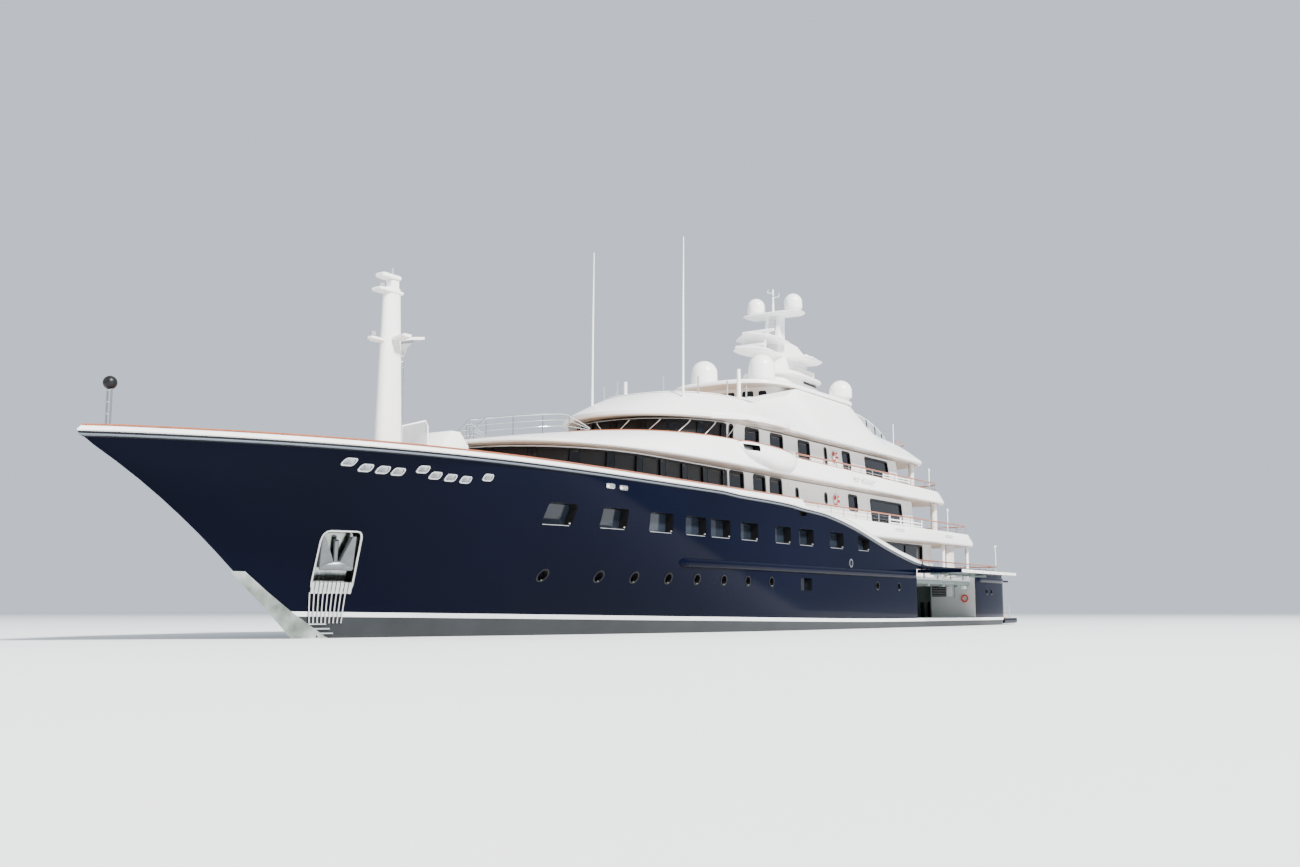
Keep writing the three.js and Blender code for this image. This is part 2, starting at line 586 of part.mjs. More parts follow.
function upperDeck() {
  const edge = planOutline(PLAN.upperDeck, 0, 8, 3, 4);
  const soffit = (x) => lookup([[-30, 6.12], [-10, 5.9]], x);
  const top = planOutline(PLAN.upperDeckTop, 0, 8, 3, 4);
  const rings = [ringAt(edge, soffit), ringAt(edge, 6.2), ringAt(top, UPPER_EDGE_Z)];
  const deck = tray(rings, [[planOutline(PLAN.upperDeckTop, 0.25), UPPER_Z]]);
  const cuts = [
    box(2.5, 3.2, -6.6, 6.6, UPPER_Z, 7),
    box(-9.9, 3.2, 6.84, 7.2, 5.5, 7.5),
    box(-9.9, 3.2, -7.2, -6.84, 5.5, 7.5),
  ];
  const trimmed = cuts.reduce((rest, cut) => rest.subtract(cut), deck);
  return union([trimmed, ...postsUnder('upper', MAIN_Z - 0.05 + GAP, 6.15)]);
}

// Wing station: a moulded pod that hangs over the side from the bridge deck's bulwark.
function wingPod(side) {
  const rows = [
    [8.9, 0.02, 10.2, 10.35], [8, 0.3, 9.6, 10.43], [6.8, 0.55, 9.25, 10.45], [4.5, 0.66, 9.12, 10.42],
    [2.6, 0.6, 9.3, 10.32], [1.4, 0.35, 9.65, 10.2], [0.9, 0.03, 9.95, 10.1],
  ];
  const rings = rows.map(([x, out, low, high]) => {
    const wall = 6.5;
    const edge = wall + 0.1 + out;
    return [
      [wall - 0.4, low], [edge - 0.2 * out, low + 0.05], [edge, low + 0.4 * (high - low)],
      [edge, high - 0.05], [edge - 0.1, high], [wall - 0.4, high],
    ].map(([y, z]) => [x, y, z]);
  });
  return onSide(loft(rings.reverse(), 'yz'), side);
}

function bridgeDeck() {
  const outline = (plan, inset = 0) => planOutline(plan, inset, 10, 3, 5);
  const rings = [
    ringAt(outline(PLAN.bridgeEdge, 0.3), 8.95), ringAt(outline(PLAN.bridgeEdge), 9.02),
    ringAt(outline(PLAN.bridgeEdge), 9.12), ringAt(outline(PLAN.bridgeTop), (x) => lookup(BRIDGE_TOP, x)),
  ];
  const deck = tray(rings, [[planOutline(PLAN.bridgeTop, 0.22), BRIDGE_Z]]);
  const well = prism(planOutline(PLAN.bridgeTop, 0.22), BRIDGE_Z, BRIDGE_Z + 3);
  const pods = [1, -1].map((side) => wingPod(side).subtract(well));
  return union([deck, ...pods, ...postsUnder('bridge', UPPER_Z + GAP, 9)]);
}

function sunDeck() {
  const edge = planOutline(PLAN.sunEdge, 0, 12, 4);
  const lean = (x) => clamp01((lookup(SUN_TOP, x) - 12) / 1.5);
  const crest = { ...PLAN.sunWell, nose: SUN_NOSE_TOP, half: SUN_TOP_HALF };
  const topOf = ([x, y]) => {
    const halfEdge = planHalf(PLAN.sunEdge, x);
    const halfTop = halfEdge - (PLAN.sunEdge.half - SUN_TOP_HALF) * lean(x);
    if (x > PLAN.sunEdge.start) {
      const along = (x - PLAN.sunEdge.start) / (PLAN.sunEdge.nose - PLAN.sunEdge.start);
      const forward = PLAN.sunEdge.start + (SUN_NOSE_TOP - PLAN.sunEdge.start) * along;
      return [forward, Math.sign(y) * planHalf(crest, forward), lookup(SUN_TOP, forward)];
    }
    return [x + (x < -20 ? 0.6 : 0), y * (halfTop / Math.max(halfEdge, 0.1)), lookup(SUN_TOP, x)];
  };
  const dense = densify(edge, 1.6);
  const rings = [
    ringAt(dense.map(([x, y]) => [x, y * 0.96]), 11.72), ringAt(dense, 11.82), ringAt(dense, 11.98),
    dense.map(topOf),
  ];
  const deck = tray(rings, [[planOutline(PLAN.sunWell), SUN_Z], [planOutline(PLAN.sunAftWell), SUN_Z]]);
  return union([deck, ...postsUnder('sun', BRIDGE_Z + GAP, 11.85)]);
}

// Adds points along the straight stretches of an outline, so that a varying edge can follow them.
function densify(outline, step) {
  return outline.flatMap((point, i) => {
    const next = outline[(i + 1) % outline.length];
    const parts = Math.max(1, Math.ceil(Math.hypot(next[0] - point[0], next[1] - point[1]) / step));
    return Array.from({ length: parts }, (_, k) =>
      [point[0] + ((next[0] - point[0]) * k) / parts, point[1] + ((next[1] - point[1]) * k) / parts]);
  });
}

// Houses

// Solid between the same inset of two plans, one at the foot and one at the head.
const between = (plan, planTop, inset, low, high) =>
  loft([ringAt(planOutline(plan, inset), low), ringAt(planOutline(planTop, inset), high)], 'xy');

// Hollow house: a wall between two plans, with openings cut through its sides.
function house(plan, planTop, low, high, windows, band) {
  let walls = between(plan, planTop, 0, low, high);
  walls = walls.subtract(between(plan, planTop, WALL, low - 0.1, high + 0.1));
  windows.forEach(([fore, aft, sill, head]) => {
    walls = walls.subtract(box(aft, fore, -9, 9, sill, head));
  });
  if (band) walls = walls.subtract(box(band.aft, plan.nose + 1, -9, 9, band.sill, band.head));
  const doorway = box(plan.aft - 1, plan.aft + 1.2, -1.7, 1.7, low - 0.1, low + 2.05);
  return walls.subtract(doorway);
}

// Curved pane that fills the band round the front of a house.
function glassBand(plan, planTop, low, high, band) {
  const outer = between(plan, planTop, GLASS_INSET, low, high);
  const inner = between(plan, planTop, GLASS_INSET + GLASS_THICK, low - 0.1, high + 0.1);
  const zone = box(band.aft + GAP, plan.nose + 1, -9, 9, band.sill + GAP, band.head - GAP);
  return outer.subtract(inner).intersect(zone);
}

// The main house is as wide as the hull forward and steps in aft, where the side decks begin.
function mainHouse(deckAbove) {
  const shell = (inset, low, high) => {
    const rings = [[low, -24.2], [high, -23.7]].map(([z, aft]) => {
      const port = [
        [MAIN_STEP_X - 0.06 - inset, 6.85 - inset], [-9.5 + inset, 6.85 - inset],
        [-9.5 + inset, 5.4 - inset], [aft + inset, 5.4 - inset],
      ];
      return ringAt([...port, ...port.map(([x, y]) => [x, -y]).reverse()], z);
    });
    return loft(rings, 'xy');
  };
  const low = MAIN_Z - 0.05 + GAP;
  let walls = shell(0, low, 6.15).subtract(shell(WALL, low - 0.1, 6.25));
  MAIN_WINDOWS.forEach(([fore, aft, sill, head]) => {
    walls = walls.subtract(box(aft, fore, -6, 6, sill, head));
  });
  walls = walls.subtract(box(-25, -23, -1.7, 1.7, low - 0.1, low + 2.05));
  return walls.subtract(moved(deckAbove, 0, 0, -GAP));
}

// Two leaves that slide apart across the main saloon's doorway, each on two small feet.
function saloonDoor(side) {
  const low = MAIN_Z - 0.05;
  const leaf = box(-24.42, -24.34, 0.03, 1.75, low + 0.06, low + 2.15);
  const feet = [0.3, 1.5].map((y) => box(-24.41, -24.35, y - 0.05, y + 0.05, low + GAP, low + 0.07));
  return onSide(union([leaf, ...feet]), side);
}

function hardtop() {
  const plan = PLAN.hardtop;
  const low = 15.2 + GAP;
  return loft([
    ringAt(planOutline(plan, 0.25), low), ringAt(planOutline(plan), low + 0.14),
    ringAt(planOutline(plan, 0.06), low + 0.3), ringAt(planOutline(plan, 0.6), 15.6),
  ], 'xy');
}

// Vaulted glass roof over the aft end of the sun deck's house.
function skylight() {
  const vault = (long, tall, half, fore, base) => {
    const points = [[fore, base]];
    for (let i = 0; i <= 8; i++) {
      const angle = (i / 8) * (Math.PI / 2);
      const up = i === 0 ? base : SUN_Z + GAP + tall * Math.sin(angle);
      points.push([i === 8 ? fore : -13.05 - long * Math.cos(angle), up]);
    }
    return prism(points, -half, half, 'xz');
  };
  const outer = vault(7.7, 2.9, 3.7, -13.05, SUN_Z + GAP);
  return outer.subtract(vault(7.58, 2.8, 3.6, -12.85, SUN_Z - 0.2));
}

// Masts, domes and aerials

function radarMast() {
  const plates = MAST_PLATES.map(([nose, start, half, power, aft, halfAft, corner, low, high]) =>
    slab({ nose, start, half, p: power, q: power, aft, halfAft, corner }, low, high));
  const legOutline = [[-8.9, 19.4], [-9.9, 19.4], [-10, 21.3], [-9.2, 21.3]];
  const legs = [0.42, -0.42].map((y) => prism(legOutline, y - 0.14, y + 0.14, 'xz'));
  const pole = bar([-9.3, 0, 21.4], [-9.3, 0, 23.2], 0.09, 8, 0.04);
  const shelfPost = bar([-7.3, 0, 18.3], [-8.3, 0, 19.45], 0.2, 8);
  return union([mastFoot(), ...plates, ...legs, pole, shelfPost]);
}

function mastFoot() {
  const low = { nose: -6.4, start: -8.5, half: 1.7, p: 2.4, q: 2.4, aft: -14.2, halfAft: 1.5, corner: 0.8 };
  const high = { nose: -7.6, start: -9, half: 1.4, p: 2.4, q: 2.4, aft: -13.8, halfAft: 1.2, corner: 0.8 };
  return loft([ringAt(planOutline(low), 15.6 + GAP), ringAt(planOutline(high), 17.2)], 'xy');
}

// Flat plate with a plan outline.
function slab(plan, low, high) {
  const outline = planOutline(plan, 0, 6, 2);
  return loft([ringAt(outline, low), ringAt(outline, high)], 'xy');
}

// Open-array radar: a bar on a short drum that turns about its upright axis.
function scanner(x, z, half) {
  return union([
    box(x - 0.12, x + 0.12, -half, half, z + 0.12, z + 0.34),
    bar([x, 0, z + GAP], [x, 0, z + 0.2], 0.16, 12),
  ]);
}

function dome(x, y, z, radius, height) {
  const drum = height - radius;
  const profile = [[0, 0], [radius * 0.7, 0], [radius * 0.94, 0.12], [radius, 0.22], [radius, drum]];
  for (let i = 1; i <= 5; i++) {
    const angle = (i / 5) * (Math.PI / 2);
    profile.push([i === 5 ? 0 : radius * Math.cos(angle), drum + radius * Math.sin(angle)]);
  }
  return turned(profile, x, y, z + GAP);
}

// Foremast with its head platform, light brackets and the yard with a gusset.
function foremast() {
  const base = FOREDECK_Z + GAP;
  const section = [
    [1, -0.5], [1, 0.5], [0.4, 1], [-0.6, 1], [-1, 0.4], [-1, -0.4], [-0.6, -1], [0.4, -1],
  ];
  const rings = [[0.78, 0.42, base], [0.45, 0.26, 15.6]].map(([halfX, halfY, z]) =>
    section.map(([x, y]) => [27.7 + x * halfX, y * halfY, z]));
  const head = box(27.35, 28.5, -0.28, 0.28, 15.95, 16.2);
  const neck = box(27.4, 27.9, -0.2, 0.2, 15.5, 16);
  const bracket = box(27.2, 28.7, -0.3, 0.3, 15.3, 15.5);
  const yard = box(27.4, 28, -1.05, 1.05, 13.1, 13.3);
  const aftArm = box(25.6, 27.6, -0.22, 0.22, 13.45, 13.65);
  const brace = [[27.5, 11.3], [27.5, 13.5], [25.9, 13.5], [26.6, 13.1], [27, 12.3]];
  const gusset = prism(brace, -0.06, 0.06, 'xz');
  return union([loft(rings, 'xy'), head, neck, bracket, yard, aftArm, gusset]);
}

function jackstaff() {
  const x = 41.72;
  const poles = [-0.12, 0.12].map((y) => bar([x, y, FOREDECK_Z + GAP], [x, y, 9], 0.04, 8));
  const rungs = [8.1, 8.96].map((z) => box(x - 0.05, x + 0.05, -0.14, 0.14, z, z + 0.06));
  const ball = new THREE.SphereGeometry(0.25 * M, 12, 8);
  ball.translate(x * M, 0, 9.24 * M);
  return union([...poles, ...rungs, solid(ball)]);
}

function windlass(side) {
  const y = side * 1.7;
  const z = FOREDECK_Z + GAP;
  const bed = box(29.6, 31.6, y - 0.7, y + 0.7, z, z + 0.3);
  const drum = bar([30.6, y - 0.6, z + 0.7], [30.6, y + 0.6, z + 0.7], 0.42, 12);
  const profile = [[0, 0], [0.38, 0], [0.26, 0.4], [0.3, 0.8], [0.42, 0.9], [0, 1]];
  return union([bed, drum, turned(profile, 29.95, y, z + 0.25, 12)]);
}

// White wedge-shaped locker on the foredeck, with the grey screen ahead of it.
function locker() {
  const z = FOREDECK_Z + GAP;
  const wedge = [[25.8, z], [25.8, 8.6], [24.9, 9.4], [24.2, 9.4], [23.6, 8.8], [23.6, z]];
  const screen = [[26.8, z], [26.8, 9.4], [25.7, 9.8], [25.7, z]];
  return prism(wedge, -0.9, 0.9, 'xz').add(prism(screen, -0.05, 0.05, 'xz'));
}

const whip = (side) => bar([7.7, side * 3.15, 12.6], [7.6, side * 3.15, 22.4], 0.06, 6, 0.03);
const ensignStaff = () => bar([-29, 0, UPPER_EDGE_Z + 0.03], [-30.4, 0, 9.4], 0.06, 8, 0.04);

// Bars of a guard rail: distance below the top, half width, half height
const RAIL_BARS = [[0.07, 0.07, 0.05], [0.36, 0.02, 0.02]];

// Guard rail: posts and bars along a path, on the edge that carries it.
function rail(path, top, baseOf, spacing = 1.9) {
  const pieces = [];
  path.slice(1).forEach((end, i) => {
    const start = path[i];
    const length = Math.hypot(end[0] - start[0], end[1] - start[1]);
    const heading = Math.atan2(end[1] - start[1], end[0] - start[0]);
    const mid = [(start[0] + end[0]) / 2, (start[1] + end[1]) / 2];
    RAIL_BARS.forEach(([below, halfWide, halfTall]) => {
      const geometry = new THREE.BoxGeometry((length + 0.08) * M, halfWide * 2 * M, halfTall * 2 * M);
      geometry.rotateZ(heading);
      geometry.translate(mid[0] * M, mid[1] * M, (top - below) * M);
      pieces.push(solid(geometry));
    });
    const count = Math.max(1, Math.round(length / spacing));
    for (let k = 0; k <= count; k++) {
      const x = start[0] + ((end[0] - start[0]) * k) / count;
      const y = start[1] + ((end[1] - start[1]) * k) / count;
      pieces.push(box(x - 0.035, x + 0.035, y - 0.035, y + 0.035, baseOf(x, y), top - 0.05));
    }
  });
  return union(pieces);
}

// Path of a rail that runs down one side, round the aft end and up the other.
function roundPath(fore, side, aft, corner) {
  const port = [[fore, side]];
  for (let i = 0; i <= 3; i++) {
    const angle = (i / 3) * (Math.PI / 2);
    port.push([aft + corner * (1 - Math.sin(angle)), side - corner * (1 - Math.cos(angle))]);
  }
  return [...port, ...port.map(([x, y]) => [x, -y]).reverse()];
}

// Assembly

const yacht = new THREE.Group();

function add(name, piece, colour, roughness = 0.35, metalness = 0) {
  const material = new THREE.MeshStandardMaterial({ color: COLOUR[colour], roughness, metalness });
  const mesh = new THREE.Mesh(geometryOf(piece), material);
  mesh.name = name;
  yacht.add(mesh);
}

const bulwarks = Object.fromEntries(SIDES.map(([label, side]) => [label, bulwark(side)]));
const hull = hullBody(bulwarks);
add('hull', hull, 'navy', 0.12);
add('stem_plate', stemPlate(hull), 'steel', 0.15, 1);
add('swim_platform', slab(PLAN.platform, 0.1, PLATFORM_Z), 'teak', 0.6);
add('transom_hatch', transomHatch(), 'navy', 0.15);
const upper = upperDeck();
const bridge = bridgeDeck();
const sun = sunDeck();
add('upper_deck', upper, 'white');
add('bridge_deck', bridge, 'white');
add('sun_deck', sun, 'white');
add('main_house', mainHouse(upper), 'white');
const upperWalls = [PLAN.upperHouse, PLAN.upperHouseTop, UPPER_Z + GAP, 8.95 - GAP];
add('upper_house', house(...upperWalls, UPPER_WINDOWS, UPPER_BAND), 'white');
add('upper_glass', glassBand(...upperWalls, UPPER_BAND), 'glass', 0.08);
const bridgeWalls = [PLAN.bridgeHouse, PLAN.bridgeHouseTop, BRIDGE_Z + GAP, 11.72 - GAP];
add('bridge_house', house(...bridgeWalls, BRIDGE_WINDOWS, BRIDGE_BAND), 'white');
add('wheelhouse_glass', glassBand(...bridgeWalls, BRIDGE_BAND), 'glass', 0.08);
add('sun_house', house(PLAN.sunHouse, PLAN.sunHouse, SUN_Z + GAP, 15.2, SUN_WINDOWS, null), 'white');
add('hardtop', hardtop(), 'white');
add('skylight', skylight(), 'glass', 0.08);
add('radar_mast', radarMast(), 'white');
add('radar_lower', scanner(-5.9, 18.42, 1.1), 'white');
add('radar_upper', scanner(-7.1, 19.6, 1.2), 'white');
add('foremast', foremast(), 'white');
add('jackstaff', jackstaff(), 'dark');
add('ensign_staff', ensignStaff(), 'white');
add('foredeck_locker', locker(), 'white');
const RAILS = [
  ['main_rail', -18.4, 6.95, -35, 1.2, MAIN_Z, () => 4.25 + GAP, null],
  ['upper_rail', 1.7, 6.72, -28.8, 1.4, UPPER_Z, () => UPPER_EDGE_Z - 0.1, upper],
  ['bridge_rail', 0, 6.3, -24.4, 1.9, BRIDGE_Z, (x) => lookup(BRIDGE_TOP, x) - 0.1, bridge],
  ['sun_rail', -19.5, 4.58, -22.7, 1.9, SUN_Z, (x) => lookup(SUN_TOP, x) - 0.1, sun],
];
for (const [name, fore, out, aft, corner, floor, baseOf, deck] of RAILS) {
  const bars = rail(roundPath(fore, out, aft, corner), floor + RAIL_HEIGHT, baseOf);
  const whole = deck ? seatedOn(bars, deck) : bars;
  for (const [label, side] of SIDES) {
    const half = whole.intersect(box(aft - 1, fore + 1, (side * GAP) / 2, side * 9, 0, 20));
    add(`${name}_${label}`, half, 'teak', 0.5);
  }
}

for (const [label, side] of SIDES) {
  add(`bulwark_${label}`, bulwarks[label], 'navy', 0.12);
  add(`anchor_pocket_${label}`, anchorPocket(side, hull), 'steel', 0.15, 1);
  add(`anchor_${label}`, anchor(side, anchorPocket(1, hull)), 'grey', 0.5, 0.6);
  add(`shell_door_${label}`, shellDoor(side, side > 0), 'navy', 0.12);
  add(`shaft_${label}`, shaft(side, hull), 'steel', 0.3, 1);
  add(`propeller_${label}`, propeller(side), 'bronze', 0.3, 1);
  add(`rudder_${label}`, rudder(side, hull), 'dark', 0.5);
  add(`stabiliser_fin_${label}`, stabiliserFin(side, hull), 'dark', 0.5);
  add(`saloon_door_${label}`, saloonDoor(side), 'glass', 0.08);
  add(`windlass_${label}`, windlass(side), 'steel', 0.3, 1);
  add(`whip_${label}`, seatedOn(whip(side), sun), 'white', 0.5);
  for (const [name, x, y, z, radius, height] of DOMES) {
    add(`${name}_${label}`, dome(x, side * y, z, radius, height), 'white', 0.4);
  }
}

export default yacht;
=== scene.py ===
from math import asin, atan2, copysign, cos, hypot, pi, radians, sin, sqrt

import bmesh
import bpy
import numpy as np
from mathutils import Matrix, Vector
from mathutils.bvhtree import BVHTree


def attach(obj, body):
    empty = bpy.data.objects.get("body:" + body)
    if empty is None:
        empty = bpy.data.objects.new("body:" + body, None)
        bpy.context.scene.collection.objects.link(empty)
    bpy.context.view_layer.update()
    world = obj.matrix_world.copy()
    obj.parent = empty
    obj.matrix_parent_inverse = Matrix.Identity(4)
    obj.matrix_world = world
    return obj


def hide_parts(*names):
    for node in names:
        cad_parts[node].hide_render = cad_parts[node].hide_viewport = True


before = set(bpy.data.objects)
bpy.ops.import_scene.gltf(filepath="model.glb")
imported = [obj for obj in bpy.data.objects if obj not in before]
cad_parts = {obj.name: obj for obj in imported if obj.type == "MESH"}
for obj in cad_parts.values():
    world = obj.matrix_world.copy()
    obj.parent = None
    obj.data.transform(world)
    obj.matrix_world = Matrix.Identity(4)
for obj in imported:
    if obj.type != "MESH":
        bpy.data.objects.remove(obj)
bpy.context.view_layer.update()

# Ship metres to model metres
S = 0.1

# Camera: place in ship metres, angles in degrees, focal length in pixels of the full image
CAMERA_AT = (70.19, 41.73, 1.14)
CAMERA_YAW = 213.15
CAMERA_PITCH = 7.64
CAMERA_FOCAL_PX = 1318.9
IMAGE_WIDTH_PX = 1300

# Deck heights above the waterline
MAIN_Z, UPPER_Z, BRIDGE_Z, SUN_Z, FOREDECK_Z, ROOF_Z = 3.52, 6.47, 9.37, 12.27, 7.0, 15.603
LOWER_Z = 0.62
# Clearance of a piece above the deck that carries it
SEAT = 0.003
SIDES = (("port", 1), ("starboard", -1))


# Curves that the hull and decks follow

def curve(table):
    """Smooth curve through the rows of a table, without overshoot."""
    xs, ys = np.array(table, dtype=float).T
    slopes = np.diff(ys) / np.diff(xs)
    mid = np.where(slopes[:-1] * slopes[1:] > 0, 2 * slopes[:-1] * slopes[1:] / (slopes[:-1] + slopes[1:] + 1e-12), 0)
    tangents = np.concatenate([[slopes[0]], mid, [slopes[-1]]])

    def value(x):
        x = min(max(x, xs[0]), xs[-1])
        i = min(int(np.searchsorted(xs, x, side="right")) - 1, len(xs) - 2)
        step = xs[i + 1] - xs[i]
        t = (x - xs[i]) / step
        a = (1 + 2 * t) * (1 - t) ** 2 * ys[i] + t * t * (3 - 2 * t) * ys[i + 1]
        return float(a + t * (1 - t) ** 2 * step * tangents[i] + t * t * (t - 1) * step * tangents[i + 1])
    return value


STEM = [(-3.97, 26), (-3, 29.2), (-2, 30.9), (-1, 31.9), (0, 32.8), (1.07, 34), (2.31, 35.5), (3.79, 37.3),
        (4.61, 38.4), (5.7, 40.02), (6.66, 41.66), (7.36, 42.84), (7.62, 42.9)]
SHEER = [(-36.4, 4.25), (-18.3, 4.25), (-17.1, 4.46), (-15.6, 4.72), (-13, 5.12), (-10.3, 5.66), (-8.6, 5.98),
         (-7.5, 6.26), (-5, 6.75), (-1.7, 7.05), (0.6, 7.2), (1.4, 7.6), (28, 7.61), (42.9, 7.62)]
BAND_LOW = [(-17.1, 4.3), (-16.3, 4.39), (-13.6, 4.82), (-11.05, 5.28), (-8.6, 5.8), (-6.3, 6.27), (-4, 6.64),
            (-1.7, 6.91), (1, 7.05), (2.8, 7.17), (5.5, 7.24), (8.2, 7.27), (10.6, 7.37), (42.8, 7.38)]
BOW_X = 42.9
stem_x = curve(STEM)
stem_z = curve([(x, z) for z, x in STEM])
sheer = curve(SHEER)
band_low = curve(BAND_LOW)
stripe_z = curve([(-36.4, 0.5), (-13.3, 0.51), (11.2, 0.72), (23.7, 0.88), (33.15, 1.0), (36, 1.03)])
bridge_top = curve([(-25, 9.8), (-7, 10.02), (0, 10.1), (4, 10.4), (16, 10.35)])
sun_top = curve([(-24, 12.6), (-23, 12.75), (-22.4, 12.95), (-21.4, 13.3), (-20, 13.48), (-18, 13.6), (-16.8, 13.72),
                 (-16, 13.88), (-15.2, 14.12), (-14.6, 14.34), (-14, 14.62), (-13.45, 14.9), (-12.8, 15.19),
                 (-4.6, 15.19), (-3.8, 14.9), (-3, 14.45), (-1.4, 14.15), (0.2, 13.8), (1.4, 13.5), (11.6, 13.5)])


def clamp01(value):
    return min(1.0, max(0.0, value))


def keel_z(x):
    if x > 26:
        return stem_z(x)
    return -3.97 + 3.6 * (max(0, -8 - x) / 28.4) ** 1.3


def topside_half(x, z):
    rise = clamp01(z / 7.5)
    along = clamp01((stem_x(z) - x) / (34 - 8 * rise))
    entry = 1 - (1 - along ** (1.25 - 0.25 * rise)) ** (2.2 + rise)
    half = (7 + 0.15 * clamp01(z / 0.6)) * entry
    half -= 0.35 * (max(0, -28.4 - x) / 8) ** 2
    bend = min(1.2, max(0.0, -35.2 - x))
    return half - 1.2 + sqrt(1.44 - bend ** 2)


def hull_half(x, z):
    if z >= 0:
        return topside_half(x, z)
    pinch = 1 - 0.1 * clamp01((-8 - x) / 28) ** 2 * clamp01(-z / 0.6)
    return topside_half(x, 0) * pinch * sqrt(1 - clamp01(z / keel_z(x)) ** 3.2)


def hull_side(point, out=0.0):
    """Point beside the hull's port side at a position and a height."""
    x, z = point
    return (x, hull_half(x, z) + out, z)


# Plan outlines: nose tip, where the nose starts, half breadth there, shape powers, aft end,
# half breadth aft, aft corner radius
PLAN = {
    "upper": (2.95, 2.9, 6.93, 8, 8, -29.9, 6.9, 1.6),
    "upper_top": (2.95, 2.9, 6.93, 8, 8, -29.2, 6.8, 1.5),
    "bridge": (23.3, 8, 6.95, 2.5, 3, -25.4, 6.55, 2.2),
    "bridge_top": (15.5, 4, 6.55, 3.5, 2.3, -24.6, 6.35, 2),
    "sun": (11.6, 2, 6.25, 2, 2, -23.6, 5.9, 3.2),
    "sun_crest": (7.7, 2, 4.15, 2.4, 2.8, -23.6, 5.9, 3.2),
    "sun_well": (7.35, 2, 3.85, 2.4, 2.8, -22.6, 3.8, 1),
    "sun_aft_well": (-16.2, -16.6, 4.2, 2, 2, -22.4, 4.3, 1.8),
    "upper_house": (22.6, 14, 5.5, 2.4, 2, -21, 5.4, 0.4),
    "upper_house_top": (22.1, 14, 5.5, 2.4, 2, -20.4, 5.4, 0.4),
    "bridge_house": (10.6, 3, 5.1, 2.5, 2.2, -19.5, 5, 0.4),
    "bridge_house_top": (10.1, 3, 5.1, 2.5, 2.2, -18.6, 5, 0.4),
    "sun_house": (-2.6, -4, 3.4, 2.5, 2.5, -13, 3.4, 0.3),
    "hardtop": (-0.7, -4.6, 4.18, 2.6, 2.6, -13.7, 4.13, 1),
    "platform": (-36.403, -36.5, 6.6, 8, 8, -42.8, 6.3, 2.6),
    "mast_foot": (-6.4, -8.5, 1.7, 2.4, 2.4, -14.2, 1.5, 0.8),
    "mast_shoulder": (-7.6, -9, 1.4, 2.4, 2.4, -13.8, 1.2, 0.8),
    "mast_roof": (-7, -9.6, 2.1, 2.2, 2.2, -14.1, 1.7, 1.2),
    "mast_box": (-10.8, -11.1, 1.0, 3, 3, -13.95, 0.9, 0.3),
    "mast_neck": (-8.2, -9.2, 0.9, 2.4, 2.4, -13.3, 0.75, 0.6),
    "mast_wing": (-9.3, -10.6, 2.4, 2.4, 2.4, -13.4, 1.95, 0.7),
    "radar_shelf": (-4.9, -6.4, 1.25, 2.2, 2.2, -9.4, 0.9, 0.5),
    "upper_shelf": (-5.6, -6.9, 1.6, 1.4, 1.2, -9.8, 1.1, 0.4),
    "spreader": (-8.6, -9.1, 2.2, 3, 3, -10.4, 2.1, 0.5),
}


def plan_half(plan, x, inset=0.0):
    nose, start, half, p, q, aft, half_aft, _ = PLAN[plan]
    nose -= inset
    start = min(start, nose - 0.1)
    if x > start:
        return (half - inset) * (1 - clamp01((x - start) / (nose - start)) ** p) ** (1 / q)
    return half + (half_aft - half) * (start - x) / (start - aft) - inset


def quarter(count):
    """Even steps over a right angle, both ends included."""
    return [i / count * pi / 2 for i in range(count + 1)]


def outline(plan, inset=0.0, nose_steps=24, corner_steps=8):
    """Closed outline seen from above, from the nose round the port side and back."""
    nose, start, _, _, _, aft, half_aft, corner = PLAN[plan]
    nose, aft = nose - inset, aft + inset
    start = min(start, nose - 0.1)
    radius = max(corner - inset, 0.05)
    xs = [start + (nose - start) * cos(a) for a in quarter(nose_steps)[1:]]
    xs += [start + (aft + radius - start) * i / 36 for i in range(1, 36)]
    port = [(x, plan_half(plan, x, inset)) for x in xs]
    port += [(aft + radius * (1 - sin(a)), half_aft - inset - radius * (1 - cos(a))) for a in quarter(corner_steps)]
    return [(nose, 0.0)] + port + [(x, -y) for x, y in reversed(port)]


def at_height(points, z, rise=0.0):
    return [(x, y, (z(x) if callable(z) else z) + rise) for x, y in points]


def mixed(ring_a, ring_b, share, rise):
    """Ring between two rings; rise is the share of the height."""
    return [(a[0] + (b[0] - a[0]) * share, a[1] + (b[1] - a[1]) * share, a[2] + (b[2] - a[2]) * rise)
            for a, b in zip(ring_a, ring_b)]


def circle(count):
    """Cosines and sines of even steps round a circle."""
    return [(cos(2 * pi * i / count), sin(2 * pi * i / count)) for i in range(count)]


# Materials

MATERIALS = {}


